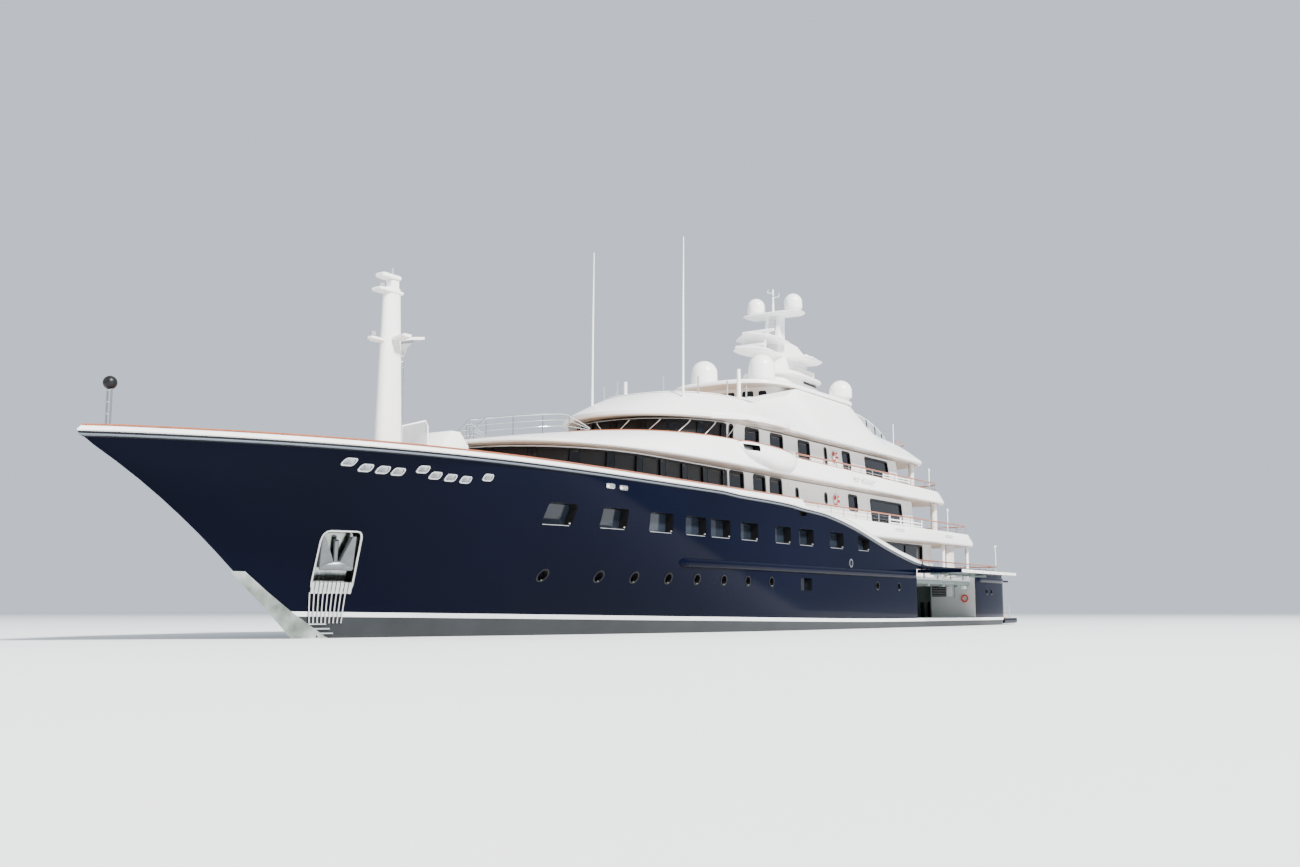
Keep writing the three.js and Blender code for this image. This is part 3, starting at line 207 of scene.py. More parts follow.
def paint(name, colour, rough=0.35, metal=0.0, vary=0.05, scale=8.0, rough_vary=0.06, bump=0.0, bump_scale=60.0,
          specular=0.5, coat=0.0, planks=0.0, second=None, ior=1.5):
    """Node material: colour and roughness vary softly, with a fine bump; planks adds dark seams along X."""
    material = bpy.data.materials.new(name)
    material.use_nodes = True
    tree = material.node_tree

    def fill(made, inputs):
        for socket, value in inputs.items():
            if isinstance(value, bpy.types.NodeSocket):
                tree.links.new(value, made.inputs[socket])
            else:
                made.inputs[socket].default_value = value

    def node(kind, output, inputs, **settings):
        made = tree.nodes.new("ShaderNode" + kind)
        for key, value in settings.items():
            setattr(made, key, value)
        fill(made, inputs)
        return made.outputs[output]
    place = node("TexCoord", "Object", {})
    noise = node("TexNoise", "Fac", {"Scale": scale, "Detail": 5, "Vector": place})
    base = node("ValToRGB", "Color", {"Fac": noise})
    ends = base.node.color_ramp.elements
    ends[0].position, ends[1].position = 0.3, 0.7
    ends[0].color = [c * (1 - vary) for c in colour] + [1]
    ends[1].color = list(second or [min(1, c * (1 + vary)) for c in colour]) + [1]
    if planks:
        across = node("SeparateXYZ", "Y", {"Vector": place})
        turns = node("Math", 0, {0: across, 1: 1 / planks}, operation="MULTIPLY")
        part = node("Math", 0, {0: turns}, operation="FRACT")
        seam = node("Math", 0, {0: part, 1: 0.1}, operation="GREATER_THAN")
        base = node("Mix", "Result", {"A": (0.05, 0.035, 0.025, 1), "Factor": seam, "B": base}, data_type="RGBA")
    uneven = node("MapRange", "Result", {"To Min": max(0.02, rough - rough_vary), "To Max": min(1, rough + rough_vary),
                                         "Value": noise})
    shader = tree.nodes["Principled BSDF"]
    fill(shader, {"Metallic": metal, "Specular IOR Level": specular, "Coat Weight": coat, "IOR": ior,
                  "Base Color": base, "Roughness": uneven})
    if bump:
        fine_noise = node("TexNoise", "Fac", {"Scale": bump_scale, "Detail": 3, "Vector": place})
        relief = node("Bump", "Normal", {"Strength": bump, "Distance": 0.002, "Height": fine_noise})
        fill(shader, {"Normal": relief})
    MATERIALS[name] = material
    return material


def make_materials():
    paint("navy", (0.0012, 0.0021, 0.0085), 0.12, vary=0.15, scale=1.2, specular=0.28, rough_vary=0.03, bump=0.05,
          bump_scale=9, ior=1.16)
    paint("bottom", (0.016, 0.019, 0.022), 0.5, vary=0.25, scale=5, bump=0.1, specular=0.3)
    paint("stripe", (0.78, 0.8, 0.82), 0.3)
    paint("white", (0.86, 0.86, 0.85), 0.28, vary=0.015, scale=2, rough_vary=0.05, coat=0.15)
    # Painted shade: a warm, darker white for deck undersides and for pillars under overhangs, standing in for their
    # shade and for light bounced up from the water.
    paint("soffit", (0.74, 0.7, 0.65), 0.5, vary=0.03, scale=4)
    # Painted shade: a deeper tan for the undersides of the bridge and sun decks and the strips under the canopy, where
    # shade falls.
    paint("beige", (0.5, 0.44, 0.39), 0.5, scale=5)
    paint("teak", (0.42, 0.27, 0.16), 0.6, vary=0.16, scale=14, planks=0.012, bump=0.15, bump_scale=200)
    paint("varnish", (0.3, 0.085, 0.032), 0.25, vary=0.2, scale=30, coat=0.3)
    paint("steel", (0.6, 0.61, 0.61), 0.14, metal=1, vary=0.06, scale=20)
    paint("rippled", (0.2, 0.24, 0.21), 0.18, metal=1, vary=0.4, scale=9, bump=0.6, bump_scale=14,
          second=(0.5, 0.54, 0.51))
    paint("galvanised", (0.16, 0.17, 0.18), 0.42, metal=0.8, vary=0.15, scale=18, bump=0.3, bump_scale=90)
    paint("glass", (0.004, 0.005, 0.008), 0.06, vary=0.5, scale=3, rough_vary=0.02, specular=0.3)
    paint("pane", (0.014, 0.019, 0.028), 0.1, vary=0.3, scale=4, specular=0.35, rough_vary=0.03)
    # Painted reflection: light grey-blue glass colour standing in for the sky reflected in the skylight.
    paint("sky_pane", (0.3, 0.33, 0.37), 0.12, vary=0.2, scale=3, rough_vary=0.03)
    paint("curtain", (0.024, 0.02, 0.017), vary=0.45, scale=2.5, specular=0.25, second=(0.012, 0.014, 0.017))
    paint("black", (0.005, 0.005, 0.006), 0.4, vary=0.2, scale=20, specular=0.25)
    paint("grey", (0.36, 0.37, 0.38), 0.3, vary=0.06, scale=12, metal=0.3)
    paint("moulding", (0.1, 0.12, 0.15), 0.3, vary=0.06, scale=12)
    paint("garage", (0.62, 0.64, 0.62), 0.45, vary=0.04, scale=5)
    paint("frame_green", (0.2, 0.26, 0.24), 0.4, vary=0.12, scale=14)
    paint("bronze", (0.6, 0.42, 0.2), 0.3, metal=1, vary=0.12, scale=25, bump=0.1)
    paint("red", (0.6, 0.03, 0.02), 0.45, vary=0.1, scale=20)
    paint("lamp", (0.8, 0.86, 0.84), 0.3, vary=0.02)


# Shapes

class Shape:
    """Points and faces of one piece, with a material's name on each face."""

    def __init__(self):
        self.points, self.faces, self.kinds = [], [], []

    def add(self, points, faces, kinds):
        base = len(self.points)
        self.points += [tuple(p) for p in points]
        self.faces += [[base + i for i in face] for face in faces]
        self.kinds += kinds
        return self

    def join(self, other):
        return self.add(other.points, other.faces, other.kinds)

    def loft(self, rings, kind="white", loop=False, sharp_end=False):
        """Skin through rings of equal length; kind may be a function of ring and column.

        The ends have column -1. A sharp end is closed by a strip between the two halves of the last ring.
        """
        count, rows = len(rings[0]), len(rings)
        kind_at = kind if callable(kind) else lambda row, column: kind
        faces, kinds = [], []
        for r in range(rows if loop else rows - 1):
            after = (r + 1) % rows
            for i in range(count):
                j = (i + 1) % count
                faces.append((r * count + i, r * count + j, after * count + j, after * count + i))
                kinds.append(kind_at(r, i))
        if not loop:
            last = (rows - 1) * count
            closing = [range(last, last + count)]
            if sharp_end:
                closing = [(last, last + 1, last + count - 1)]
                closing += [(last + c, last + c + 1, last + count - c - 1, last + count - c)
                            for c in range(1, count // 2)]
            faces += [range(count)[::-1]] + closing
            kinds += [kind_at(0, -1)] + [kind_at(rows - 1, -1)] * len(closing)
        return self.add([p for ring in rings for p in ring], faces, kinds)

    def tube(self, path, radius, kind="white", sides=8, loop=False, flat=1.0):
        """Round bar along a path; radius may be a list, and flat squeezes it in height."""
        points = [Vector(p) for p in path]
        count = len(points)
        rings = []
        lean = None
        for i, point in enumerate(points):
            before = points[i - 1] if (i or loop) else point
            after = points[(i + 1) % count] if (i < count - 1 or loop) else point
            way = (after - before).normalized()
            if lean is None:
                lean = way.cross(Vector((0, 0, 1)) if abs(way.z) < 0.9 else Vector((1, 0, 0))).normalized()
            lean = (lean - way * lean.dot(way)).normalized()
            size = radius[i] if isinstance(radius, (list, tuple)) else radius
            rings.append([point + lean * (size * c) + lean.cross(way) * (size * flat * s) for c, s in circle(sides)])
        return self.loft(rings, kind, loop=loop)

    def tubes(self, paths, *more):
        for path in paths:
            self.tube(path, *more)
        return self

    def block(self, x0, x1, y0, y1, z0, z1, kind="white", edge=0.03):
        """Box with chamfered edges."""
        e = min(edge, abs(x1 - x0) / 2.2, abs(y1 - y0) / 2.2, abs(z1 - z0) / 2.2)
        rings = []
        for z, inset in ((z0, e), (z0 + e, 0), (z1 - e, 0), (z1, e)):
            a, b, c, d = x0 + inset, x1 - inset, y0 + inset, y1 - inset
            rings.append([(a + e, c, z), (b - e, c, z), (b, c + e, z), (b, d - e, z), (b - e, d, z), (a + e, d, z),
                          (a, d - e, z), (a, c + e, z)])
        return self.loft(rings, kind)

    def blocks(self, rows, *more):
        for row in rows:
            self.block(*row, *more)
        return self

    def extruded(self, points, ys, kind="white"):
        """Flat outline of (x, z) set out between two places across the hull."""
        return self.loft([[(x, y, z) for x, z in points] for y in ys], kind)

    def turned(self, profile, centre, kind="white", segments=32, axis="z"):
        """Solid turned about an axis through the centre from a profile of radii and distances."""
        rings = []
        for radius, along in profile:
            ring = []
            for c, s in circle(segments):
                a, b = max(radius, 0.0005) * c, max(radius, 0.0005) * s
                offset = {"z": (a, b, along), "y": (a, along, b), "x": (along, a, b)}[axis]
                ring.append([c + o for c, o in zip(centre, offset)])
            rings.append(ring)
        return self.loft(rings, kind)

    def plate(self, points, place, low, high, kind):
        """Prism of an outline set out by a place function between two distances."""
        return self.loft([[place(p, low) for p in points], [place(p, high) for p in points]], kind)

    def edging(self, outer, inner, place, low, high, kind):
        """Flat ring between two outlines, of an even thickness."""
        return self.loft([[place(p, out) for p in points]
                          for points, out in ((outer, low), (outer, high), (inner, high), (inner, low))],
                         kind, loop=True)

    def rim(self, path, section, kind, loop=False):
        """Sweeps a section of (out, up) along a path that goes counterclockwise seen from above."""
        count = len(path)
        rings = []
        for i, (x, y, z) in enumerate(path):
            a = path[i - 1] if (i or loop) else path[i]
            b = path[(i + 1) % count] if (i < count - 1 or loop) else path[i]
            dx, dy = b[0] - a[0], b[1] - a[1]
            length = hypot(dx, dy) or 1
            parts = section(x) if callable(section) else section
            rings.append([(x + dy / length * out, y - dx / length * out, z + up) for out, up in parts])
        return self.loft(rings, kind, loop=loop)

    def on_side(self, side):
        if side < 0:
            self.points = [(x, -y, z) for x, y, z in self.points]
            self.faces = [face[::-1] for face in self.faces]
        return self

    def mirrored(self):
        """Adds the same again on the other side of the centreline."""
        return self.join(Shape().join(self).on_side(-1))


def raw_object(name, shape, names):
    mesh = bpy.data.meshes.new(name)
    mesh.from_pydata([(x * S, y * S, z * S) for x, y, z in shape.points], [], shape.faces)
    for kind in names:
        mesh.materials.append(MATERIALS[kind])
    mesh.polygons.foreach_set("material_index", [names.index(kind) for kind in shape.kinds])
    made = bmesh.new()
    made.from_mesh(mesh)
    bmesh.ops.remove_doubles(made, verts=made.verts, dist=1e-6)
    bmesh.ops.recalc_face_normals(made, faces=made.faces)
    made.to_mesh(mesh)
    made.free()
    piece = bpy.data.objects.new(name, mesh)
    bpy.context.scene.collection.objects.link(piece)
    return piece


def round_edges(piece, width, angle):
    edges = piece.modifiers.new("edges", "BEVEL")
    edges.width = width
    edges.segments = 2
    edges.limit_method = "ANGLE"
    edges.angle_limit = radians(angle)


def make(name, shape, nodes=(), body="body", slot="white_paint", angle=32, cuts=(), bevel=0.0):
    """Makes the piece, cuts it, smooths its shading and ties it to its body and CAD nodes."""
    names = list(dict.fromkeys(kind for part in [shape, *cuts] for kind in part.kinds))
    piece = raw_object(name, shape, names)
    cutters = [raw_object(f"{name}_cut", cut, names) for cut in cuts]
    for cutter in cutters:
        modifier = piece.modifiers.new("cut", "BOOLEAN")
        modifier.object = cutter
        modifier.operation = "DIFFERENCE"
        modifier.solver = "MANIFOLD"
    if bevel:
        round_edges(piece, bevel * S, 40)
    if piece.modifiers:
        depsgraph = bpy.context.evaluated_depsgraph_get()
        result = bpy.data.meshes.new_from_object(piece.evaluated_get(depsgraph))
        before = piece.data
        piece.modifiers.clear()
        piece.data = result
        bpy.data.meshes.remove(before)
    for cutter in cutters:
        mesh = cutter.data
        bpy.data.objects.remove(cutter)
        bpy.data.meshes.remove(mesh)
    piece.data.shade_smooth()
    piece.data.set_sharp_from_angle(angle=radians(angle))
    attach(piece, body)
    if nodes:
        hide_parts(*nodes)
    return piece


def fine(node, shape, moving=False, **more):
    """Makes the piece that stands in for one CAD node, on the node's own body if it moves."""
    return make(f"{node}_fine", shape, [node], body=node if moving else "body", **more)


def pair(*pieces):
    """Makes the port pieces from their shapes, and then the starboard ones from the mirror images."""
    for label, side in SIDES:
        for node, shape, more in pieces:
            fine(f"{node}_{label}", shape.on_side(side), **more)


def both(name):
    return (f"{name}_port", f"{name}_starboard")


def rounded(x0, x1, z0, z1, radius):
    """Outline of a rectangle with round corners."""
    return [(cx + radius * cos(start + a), cz + radius * sin(start + a))
            for cx, cz, start in ((x1 - radius, z1 - radius, 0), (x0 + radius, z1 - radius, pi / 2),
                                  (x0 + radius, z0 + radius, pi), (x1 - radius, z0 + radius, 3 * pi / 2))
            for a in quarter(4)]


def oblong(x, z, half_x, half_z, radius):
    return rounded(x - half_x, x + half_x, z - half_z, z + half_z, radius)


def round_outline(x, z, radius):
    return [(x + radius * c, z + radius * s) for c, s in circle(20)]


def grown(points, amount):
    """The outline moved outwards from its middle by an even amount."""
    moved = []
    for i, (x, z) in enumerate(points):
        before, after = points[i - 1], points[(i + 1) % len(points)]
        dx, dz = after[0] - before[0], after[1] - before[1]
        length = hypot(dx, dz) or 1
        moved.append((x + dz / length * amount, z - dx / length * amount))
    return moved


# Hull

HULL_WINDOWS = [(22.5, 24.3), (18.85, 20.75), (15.08, 17.1), (11.95, 13.95), (9.45, 11.5), (6.4, 8.35), (2.5, 4.4),
                (-0.45, 1.45), (-4.6, -2.65), (-8.5, -6.75)]
# Place, height and radius
PORTHOLES = [(x, 2.7, 0.26) for x in (22.76, 19.55, 17.26, 14.8, 12.48, 10.03, 7.59, 4.92, -9.62, -13.18)]
PORTHOLES += [(-30.76, 2.57, 0.22), (-32.0, 2.57, 0.22)]
DRAIN = (-5.53, 4.05)
# Place, height, half length and half height
FAIRLEADS = [(x, z, 0.22, 0.11) for x, z in (
    (34.35, 6.79), (33.59, 6.62), (32.9, 6.59), (32.26, 6.56), (31.32, 6.71), (30.64, 6.52), (29.92, 6.48),
    (29.19, 6.45), (28.18, 6.61))]
FAIRLEADS += [(20.52, 6.82, 0.3, 0.08), (19.49, 6.81, 0.3, 0.08)]
POCKET = [(33.41, 4.28), (31.94, 4.29), (31.02, 1.9), (32.68, 1.89)]
# Tender bay through the hull: aft and fore ends, half breadth inside the doors
BAY_AFT, BAY_FORE, BAY_HALF = -28, -16.35, 6.8
BAY_FRAMES = (-18.4, -21, -23.6, -26.2)


def hull_window_outline(aft, fore):
    return [(x, min(z, band_low(x) - 0.24)) for x, z in rounded(aft, fore, 4.88, 5.85, 0.14)]


def pocket_outline(inset=0.0):
    cx, cz = np.mean(POCKET, axis=0)
    points = []
    for i in range(4):
        before, corner, after = (np.array(POCKET[k % 4]) for k in (i - 1, i, i + 1))
        a, b = corner + (before - corner) * 0.16, corner + (after - corner) * 0.16
        for t in (0, 0.25, 0.5, 0.75, 1):
            x, z = (1 - t) ** 2 * a + 2 * t * (1 - t) * corner + t * t * b
            points.append((x + (cx - x) * inset, z + (cz - z) * inset))
    return points


def hull_stations():
    stern = [-36.4, -36.39, -36.35, -36.28, -36.15, -36.0, -35.8, -35.6, -35.4, -35.2]
    middle = list(np.arange(-34.6, 0.3, 0.8)) + list(np.arange(0.4, 1.7, 0.2)) + list(np.arange(2.2, 24, 0.8))
    bow = list(np.arange(24, 41.9, 0.6)) + [42.0, 42.35, 42.55, 42.7, 42.79, BOW_X]
    return stern + middle + bow


def leaning(x, z):
    """Position of a station at a height; stations lean aft below the sheer, up to the stem's own rake."""
    return x - (BOW_X - stem_x(z)) * clamp01((x - 14) / (BOW_X - 14))


def tip_rake(x, z):
    """How far the bow's tip leans aft at a height above the moulding."""
    return max(0, x - 42) * max(0, z - 7.4) * 1.2


def hull_ring(x):
    low = keel_z(leaning(x, -3.97))
    top = sheer(x)
    neck = top - 0.3
    line = stripe_z(leaning(x, 0.9)) + 0.1
    heights = [low * (1 - share) for share in (0.01, 0.03, 0.07, 0.13, 0.2, 0.3, 0.42, 0.55, 0.7, 0.85, 1)]
    heights += [line - 0.2] + [line + (neck - line) * share for share in (
        0, 0.08, 0.17, 0.27, 0.37, 0.47, 0.57, 0.67, 0.77, 0.86, 0.94, 1)] + [neck + 0.15, top]
    port = [(leaning(x, z) - tip_rake(x, z), max(hull_half(leaning(x, z), min(z, neck)), 0.015), z) for z in heights]
    return [(leaning(x, low), 0.0, low)] + port + [(px, -py, pz) for px, py, pz in reversed(port)]


def hull_kind_at(column, count):
    """Material of one column of the hull's rings, counted from the keel up either side."""
    row = min(column, count - 1 - column)
    return "bottom" if row < 12 else ("stripe" if row == 12 else "navy")


def well(fore, aft, floor, wall, reach):
    """Open space above a deck, inside the bulwarks; reach limits its half breadth."""
    count = max(2, int((fore - aft) / 0.8))
    rings = []
    for i in range(count + 1):
        x = aft + (fore - aft) * i / count
        neck = sheer(x) - 0.3
        low = max(min(hull_half(x, floor) - wall, reach), 0.02)
        high = max(min(hull_half(x, neck) - wall - 0.06, reach), 0.02)
        port = [(x, low, floor), (x, high, max(neck, floor + 0.05)), (x, high, 9)]
        rings.append(port + [(x, -y, z) for _, y, z in reversed(port)])
    return Shape().loft(rings, lambda ring, column: "teak" if column == 5 else "white")


def make_hull():
    rings = [hull_ring(x) for x in hull_stations()]
    count = len(rings[0])
    shape = Shape().loft(rings, lambda ring, column: "navy" if column < 0 else hull_kind_at(column, count),
                         sharp_end=True)
    # The window and porthole recesses are lined with black: painted shade on their walls.
    holes = [(hull_window_outline(*window), -0.5, 0.4, "black") for window in HULL_WINDOWS]
    holes += [(round_outline(*place), -0.3, 0.4, "black") for place in PORTHOLES]
    holes += [(rounded(-0.12, 1.32, 2.27, 3.01, 0.1), -0.3, 0.4, "black"),
              (rounded(0.4, 1.5, 6.6, 6.95, 0.16), -0.25, 0.4, "black"),
              (round_outline(*DRAIN, 0.2), -0.3, 0.4, "steel"), (pocket_outline(), -0.45, 0.6, "rippled")]
    holes += [(oblong(x, z, w, h, min(h * 0.75, 0.08)), -0.4, 0.6, "stripe") for x, z, w, h in FAIRLEADS]
    openings = Shape()
    for points, low, high, kind in holes:
        openings.plate(points, hull_side, low, high, kind)
    doorways = Shape().block(BAY_AFT, BAY_FORE, 6.75, 8, LOWER_Z, 3.98,
                             lambda ring, column: "navy" if column == 2 else "garage", 0.001).mirrored()
    doorways.block(-29.4, -27.9, -3.6, 3.6, LOWER_Z, 3.0, "frame_green", 0.001)
    cuts = [
        well(41.9, 23.4, FOREDECK_Z, 0.2, 9), well(23.5, 3, UPPER_Z, 0.2, 9), well(3.1, -9.5, 5.86, 0.3, 6.845),
        well(-9.4, -35.6, MAIN_Z, 0.2, 9), Shape().block(-40, -35.1, -9, 9, MAIN_Z, 6, "teak", 0.001),
        Shape().block(BAY_AFT, BAY_FORE, -BAY_HALF, BAY_HALF, LOWER_Z, 3.3, "garage", 0.001), doorways,
        Shape().block(-40, -29.6, -5.6, 5.6, LOWER_Z, 3.2, "white", 0.001), openings.mirrored(),
        Shape().block(-9.6, 2.96, -6.63, 6.63, MAIN_Z, 5.9, "white", 0.001),
    ]
    make("hull_shell", shape, ["hull", *both("bulwark")], slot="navy_paint", cuts=cuts, angle=28)
    keel = Shape().block(-6, 22, -0.22, 0.22, -4.1, -3.8, "bottom")
    keel.extruded([(-5, -3.7), (-5, -4.1), (-24, -4.1), (-26.5, -1.7)], (-0.15, 0.15), "bottom")
    make("keel_bar", keel, slot="navy_paint")


def sheer_path(fore=42.76, aft=-17.1):
    """Path along the top of the hull's side: starboard from aft, round the bow, and back down to port."""
    stations = [aft] + [x for x in hull_stations() if aft + 0.1 < x < fore - 0.05] + [fore]
    port = [(x, max(hull_half(x, sheer(x) - 0.3), 0.03), sheer(x)) for x in stations]
    return [(x, -y, z) for x, y, z in port] + [(BOW_X, 0.0, sheer(BOW_X))] + port[::-1]


def flat_section(inner, outer, low, high, edge=0.02):
    return [(inner, low), (outer - edge, low), (outer, low + edge), (outer, high - edge), (outer - edge, high),
            (inner, high)]


def raked_strip(path, section, kind):
    """Strip whose bow end leans aft, above its middle like the cap and below it like the stem."""
    strip = Shape().rim(path, section, kind)
    strip.points = [(x - tip_rake(x, z) - clamp01((x - 42) / 0.9) * (BOW_X - stem_x(z)), y, z)
                    for x, y, z in strip.points]
    return strip


def make_sheer_trim():
    def below(x, drop=0.0):
        return min(band_low(x) - sheer(x), -0.1) - drop
    moulding = ((-0.1, 0.16), (0.05, 0.16), (0.08, 0.14), (0.09, 0.12), (0.08, 0.1), (0.05, 0.08), (-0.1, 0.08))
    strips = {
        "sheer_band": (lambda x: flat_section(-0.26, 0.09, below(x), -0.03, 0.04), "white"),
        "sheer_line": (lambda x: flat_section(-0.1, 0.05, below(x, 0.08), below(x)), "black"),
        "sheer_foot": (lambda x: flat_section(-0.1, 0.03, below(x, 0.19), below(x, 0.16)), "black"),
        "sheer_moulding": (lambda x: [(out, below(x, drop)) for out, drop in moulding], "moulding"),
    }
    for name, (section, kind) in strips.items():
        make(name, raked_strip(sheer_path(), section, kind))
    cap = flat_section(-0.3, 0.11, -0.03, 0.03)
    make("sheer_cap", raked_strip(sheer_path(aft=1.4), cap, "varnish"), slot="varnished_wood")
    make("sheer_cap_aft", Shape().rim([p for p in sheer_path() if p[0] < 1.5 and p[1] > 0], cap, "white").mirrored())


def make_side_rails():
    """Half-round rails with rounded ends: fore end, aft end, height, radius, projection."""
    shape = Shape()
    for fore, aft, z, radius, out in ((14.3, -16.3, 3.52, 0.22, 0.16), (-28.4, -35.2, 3.52, 0.24, 0.17),
                                      (-16.6, -35.0, 4.13, 0.13, 0.12)):
        section = [(out * cos(pi * (i / 10 - 0.5)), radius * sin(pi * (i / 10 - 0.5))) for i in range(11)]
        section = [(-0.12, -radius)] + section + [(-0.12, radius)]
        count = int((fore - aft) / 0.35)
        rings = []
        for i in range(count + 1):
            x = aft + (fore - aft) * i / count
            near = min(x - aft, fore - x)
            size = max(sqrt(max(1 - (1 - min(near / 0.5, 1)) ** 2, 0.0)), 0.08)
            half = hull_half(x, z)
            rings.append([(x, half + o * (size if o > 0 else 1), z + u * size) for o, u in section])
        shape.loft(rings, "navy")
    make("side_rails", shape.mirrored(), slot="navy_paint")


def make_hull_windows():
    panes, trims = Shape(), Shape()

    # Small grey stud at the lower aft corner of each hull window and porthole, standing in for the sun's highlight on
    # the rim: a painted highlight.
    def lamp(place, out, radius, sides):
        x, y, z = hull_side(place, out)
        trims.tube([(x, y, z), (x, y + 0.06, z)], radius, "grey", sides)
    for aft, fore in HULL_WINDOWS:
        panes.plate(grown(hull_window_outline(aft, fore), -0.02), hull_side, -0.5, -0.46, "pane")
        trims.tube([hull_side((x, 4.9), -0.02) for x in (aft + 0.12, fore - 0.12)], 0.014, "grey", 6)
        lamp((aft + 0.16, 5.0), -0.04, 0.035, 10)
    for x, z, r in PORTHOLES:
        panes.plate(round_outline(x, z, r - 0.01), hull_side, -0.3, -0.26, "glass")
        trims.edging(round_outline(x, z, r + 0.03), round_outline(x, z, r - 0.02), hull_side, -0.03, 0.02, "black")
        lamp((x - 0.1, z - r + 0.05), -0.05, 0.022, 8)
    panes.plate(rounded(-0.1, 1.3, 2.29, 2.99, 0.1), hull_side, -0.3, -0.26, "glass")
    trims.edging(round_outline(*DRAIN, 0.27), round_outline(*DRAIN, 0.19), hull_side, -0.03, 0.06, "steel")
    for x, z, w, h in FAIRLEADS:
        points = oblong(x, z, w, h, h * 0.75)
        trims.edging(grown(points, 0.035), grown(points, -0.012), hull_side, -0.03, 0.04, "steel")
    make("hull_panes", panes.mirrored(), slot="dark_glass")
    make("hull_window_trim", trims.mirrored(), slot="steel_polished")


def make_anchors():
    pocket = Shape().tube([hull_side(p, 0.03) for p in pocket_outline()], 0.05, "steel", 10, True)
    pocket.plate(pocket_outline(0.05), hull_side, -0.47, -0.42, "rippled")
    for x in np.linspace(32.62, 31.12, 10):
        pocket.tube([hull_side((x + 0.1, 2.3)), hull_side((x, 1.85), 0.06)], 0.085, "steel", 10)
    for i in range(9):
        share = i / 8
        pocket.tube([hull_side((32.7 - 1.43 * share, 1.88), 0.05), hull_side((32.48 - 1.4 * share, 1.25), 0.06),
                     hull_side((32.26 - 1.36 * share, 0.63), 0.05)], 0.032, "steel")
    for z, fore, aft in ((0.59, 32.44, 31.53), (0.4, 32.26, 31.31), (0.21, 32.06, 31.1), (0.03, 31.77, 31.3)):
        pocket.tube([hull_side((fore, z), 0.04), hull_side((aft, z), 0.04)], 0.045, "steel")
    anchor = Shape()
    for x, z, root in ((33.3, 4.02, 32.5), (32.2, 4.08, 31.82)):
        anchor.plate([(root - 0.3, 2.86), (root + 0.3, 2.86), (x + 0.02, z), (x - 0.1, z)], hull_side, -0.12, 0.1,
                     "galvanised")
    crown = [hull_side((31.5 + 1.28 * k / 8, 2.84 + 0.12 * sin(pi * k / 8)), 0.02) for k in range(9)]
    anchor.tube(crown, [0.1, 0.15, 0.18, 0.2, 0.2, 0.2, 0.18, 0.15, 0.1], "galvanised", 12)
    anchor.tube([hull_side((32.15, 2.8)), hull_side((32.6, 3.95), -0.2)], 0.11, "galvanised", 10)
    pair(("anchor_pocket", pocket, {"slot": "steel_polished"}),
         ("anchor", anchor, {"slot": "steel_grey", "bevel": 0.02}))


# Doors, garage, transom and platform

def make_shell_doors():
    inner, outer, hinge_z = 6.88, 7.12, 3.93
    for label, side in SIDES:
        door = Shape().block(-27.94, -16.41, inner, outer, 0.68, 3.88, "navy", 0.02)
        door.block(-27.92, -16.43, inner + 0.02, outer - 0.02, 0.66, 0.69, "white", 0.01)
        for x in (-17.5, -22.2, -26.8):
            door.tube([(x - 0.3, outer, hinge_z), (x + 0.3, outer, hinge_z)], 0.045, "steel", 12)
            door.block(x - 0.3, x + 0.3, outer - 0.05, outer, 3.85, hinge_z, "navy", 0.005)
        for x in BAY_FRAMES:
            door.block(x - 0.12, x + 0.12, inner - 0.09, inner + 0.02, 2.4, 3.7, "frame_green")
        for i in range(7):
            x = -17.2 - 1.66 * i
            door.tube([(x, inner + 0.12, 0.63), (x, inner + 0.12, 0.68)], 0.05, "frame_green", 10)
        door.on_side(side)
        if side > 0:
            door.points = [(x, outer + hinge_z - z, hinge_z + y - outer) for x, y, z in door.points]
        fine(f"shell_door_{label}", door, moving=True, slot="navy_paint")


def make_garage():
    wall = -27.98
    shape = Shape().block(wall, wall + 0.05, 3.75, 4.85, 2.2, 3.02, "black", 0.02)
    for i in range(6):
        shape.block(wall + 0.04, wall + 0.09, 3.8, 4.8, 2.27 + 0.13 * i, 2.32 + 0.13 * i, "grey", 0.01)
    shape.block(wall, wall + 0.06, 4.95, 5.35, 2.2, 2.95, "white", 0.02)
    shape.block(wall, wall + 0.05, 5.55, 5.62, 2.1, 2.9, "grey", 0.01)
    shape.tube([(wall + 0.12, 6.38 + 0.24 * c, 2.04 + 0.24 * s) for c, s in circle(24)], 0.06, "red", 8, True)
    shape.blocks([(wall - 0.6, wall - 0.3, y, y + 0.25, 0.62, 1.8) for y in (2.6, 3.2)], "black", 0.05)
    shape.blocks([(-28.0, -27.9, y, y + 0.1, 0.64, 3.02) for y in (-3.7, 3.6)], "frame_green", 0.02)
    for y0, y1 in ((6.5, 6.74), (-6.74, -6.5)):
        shape.block(-27.95, -16.4, y0, y1, 3.02, 3.29, "frame_green")
        for x in (-17.2, -19.6, -22.6, -25.6, -27.4):
            shape.block(x - 0.2, x + 0.2, y0 - 0.1, y1 + 0.02, 2.86, 3.1, "frame_green", 0.04)
        for x in (-17.0, -27.0):
            shape.block(x - 0.22, x + 0.22, y0 - 0.06, y1 + 0.04, 2.74, 3.0, "lamp", 0.05)
    port = Shape().block(wall, -16.37, BAY_HALF, 6.86, LOWER_Z + 0.002, LOWER_Z + 0.03, "steel", 0.01)
    port.blocks([(x - 0.3, x - 0.14, 6.755, 6.86, 3.4, 3.9) for x in BAY_FRAMES], "frame_green")
    make("garage_fittings", shape.join(port.mirrored()), slot="steel_grey")


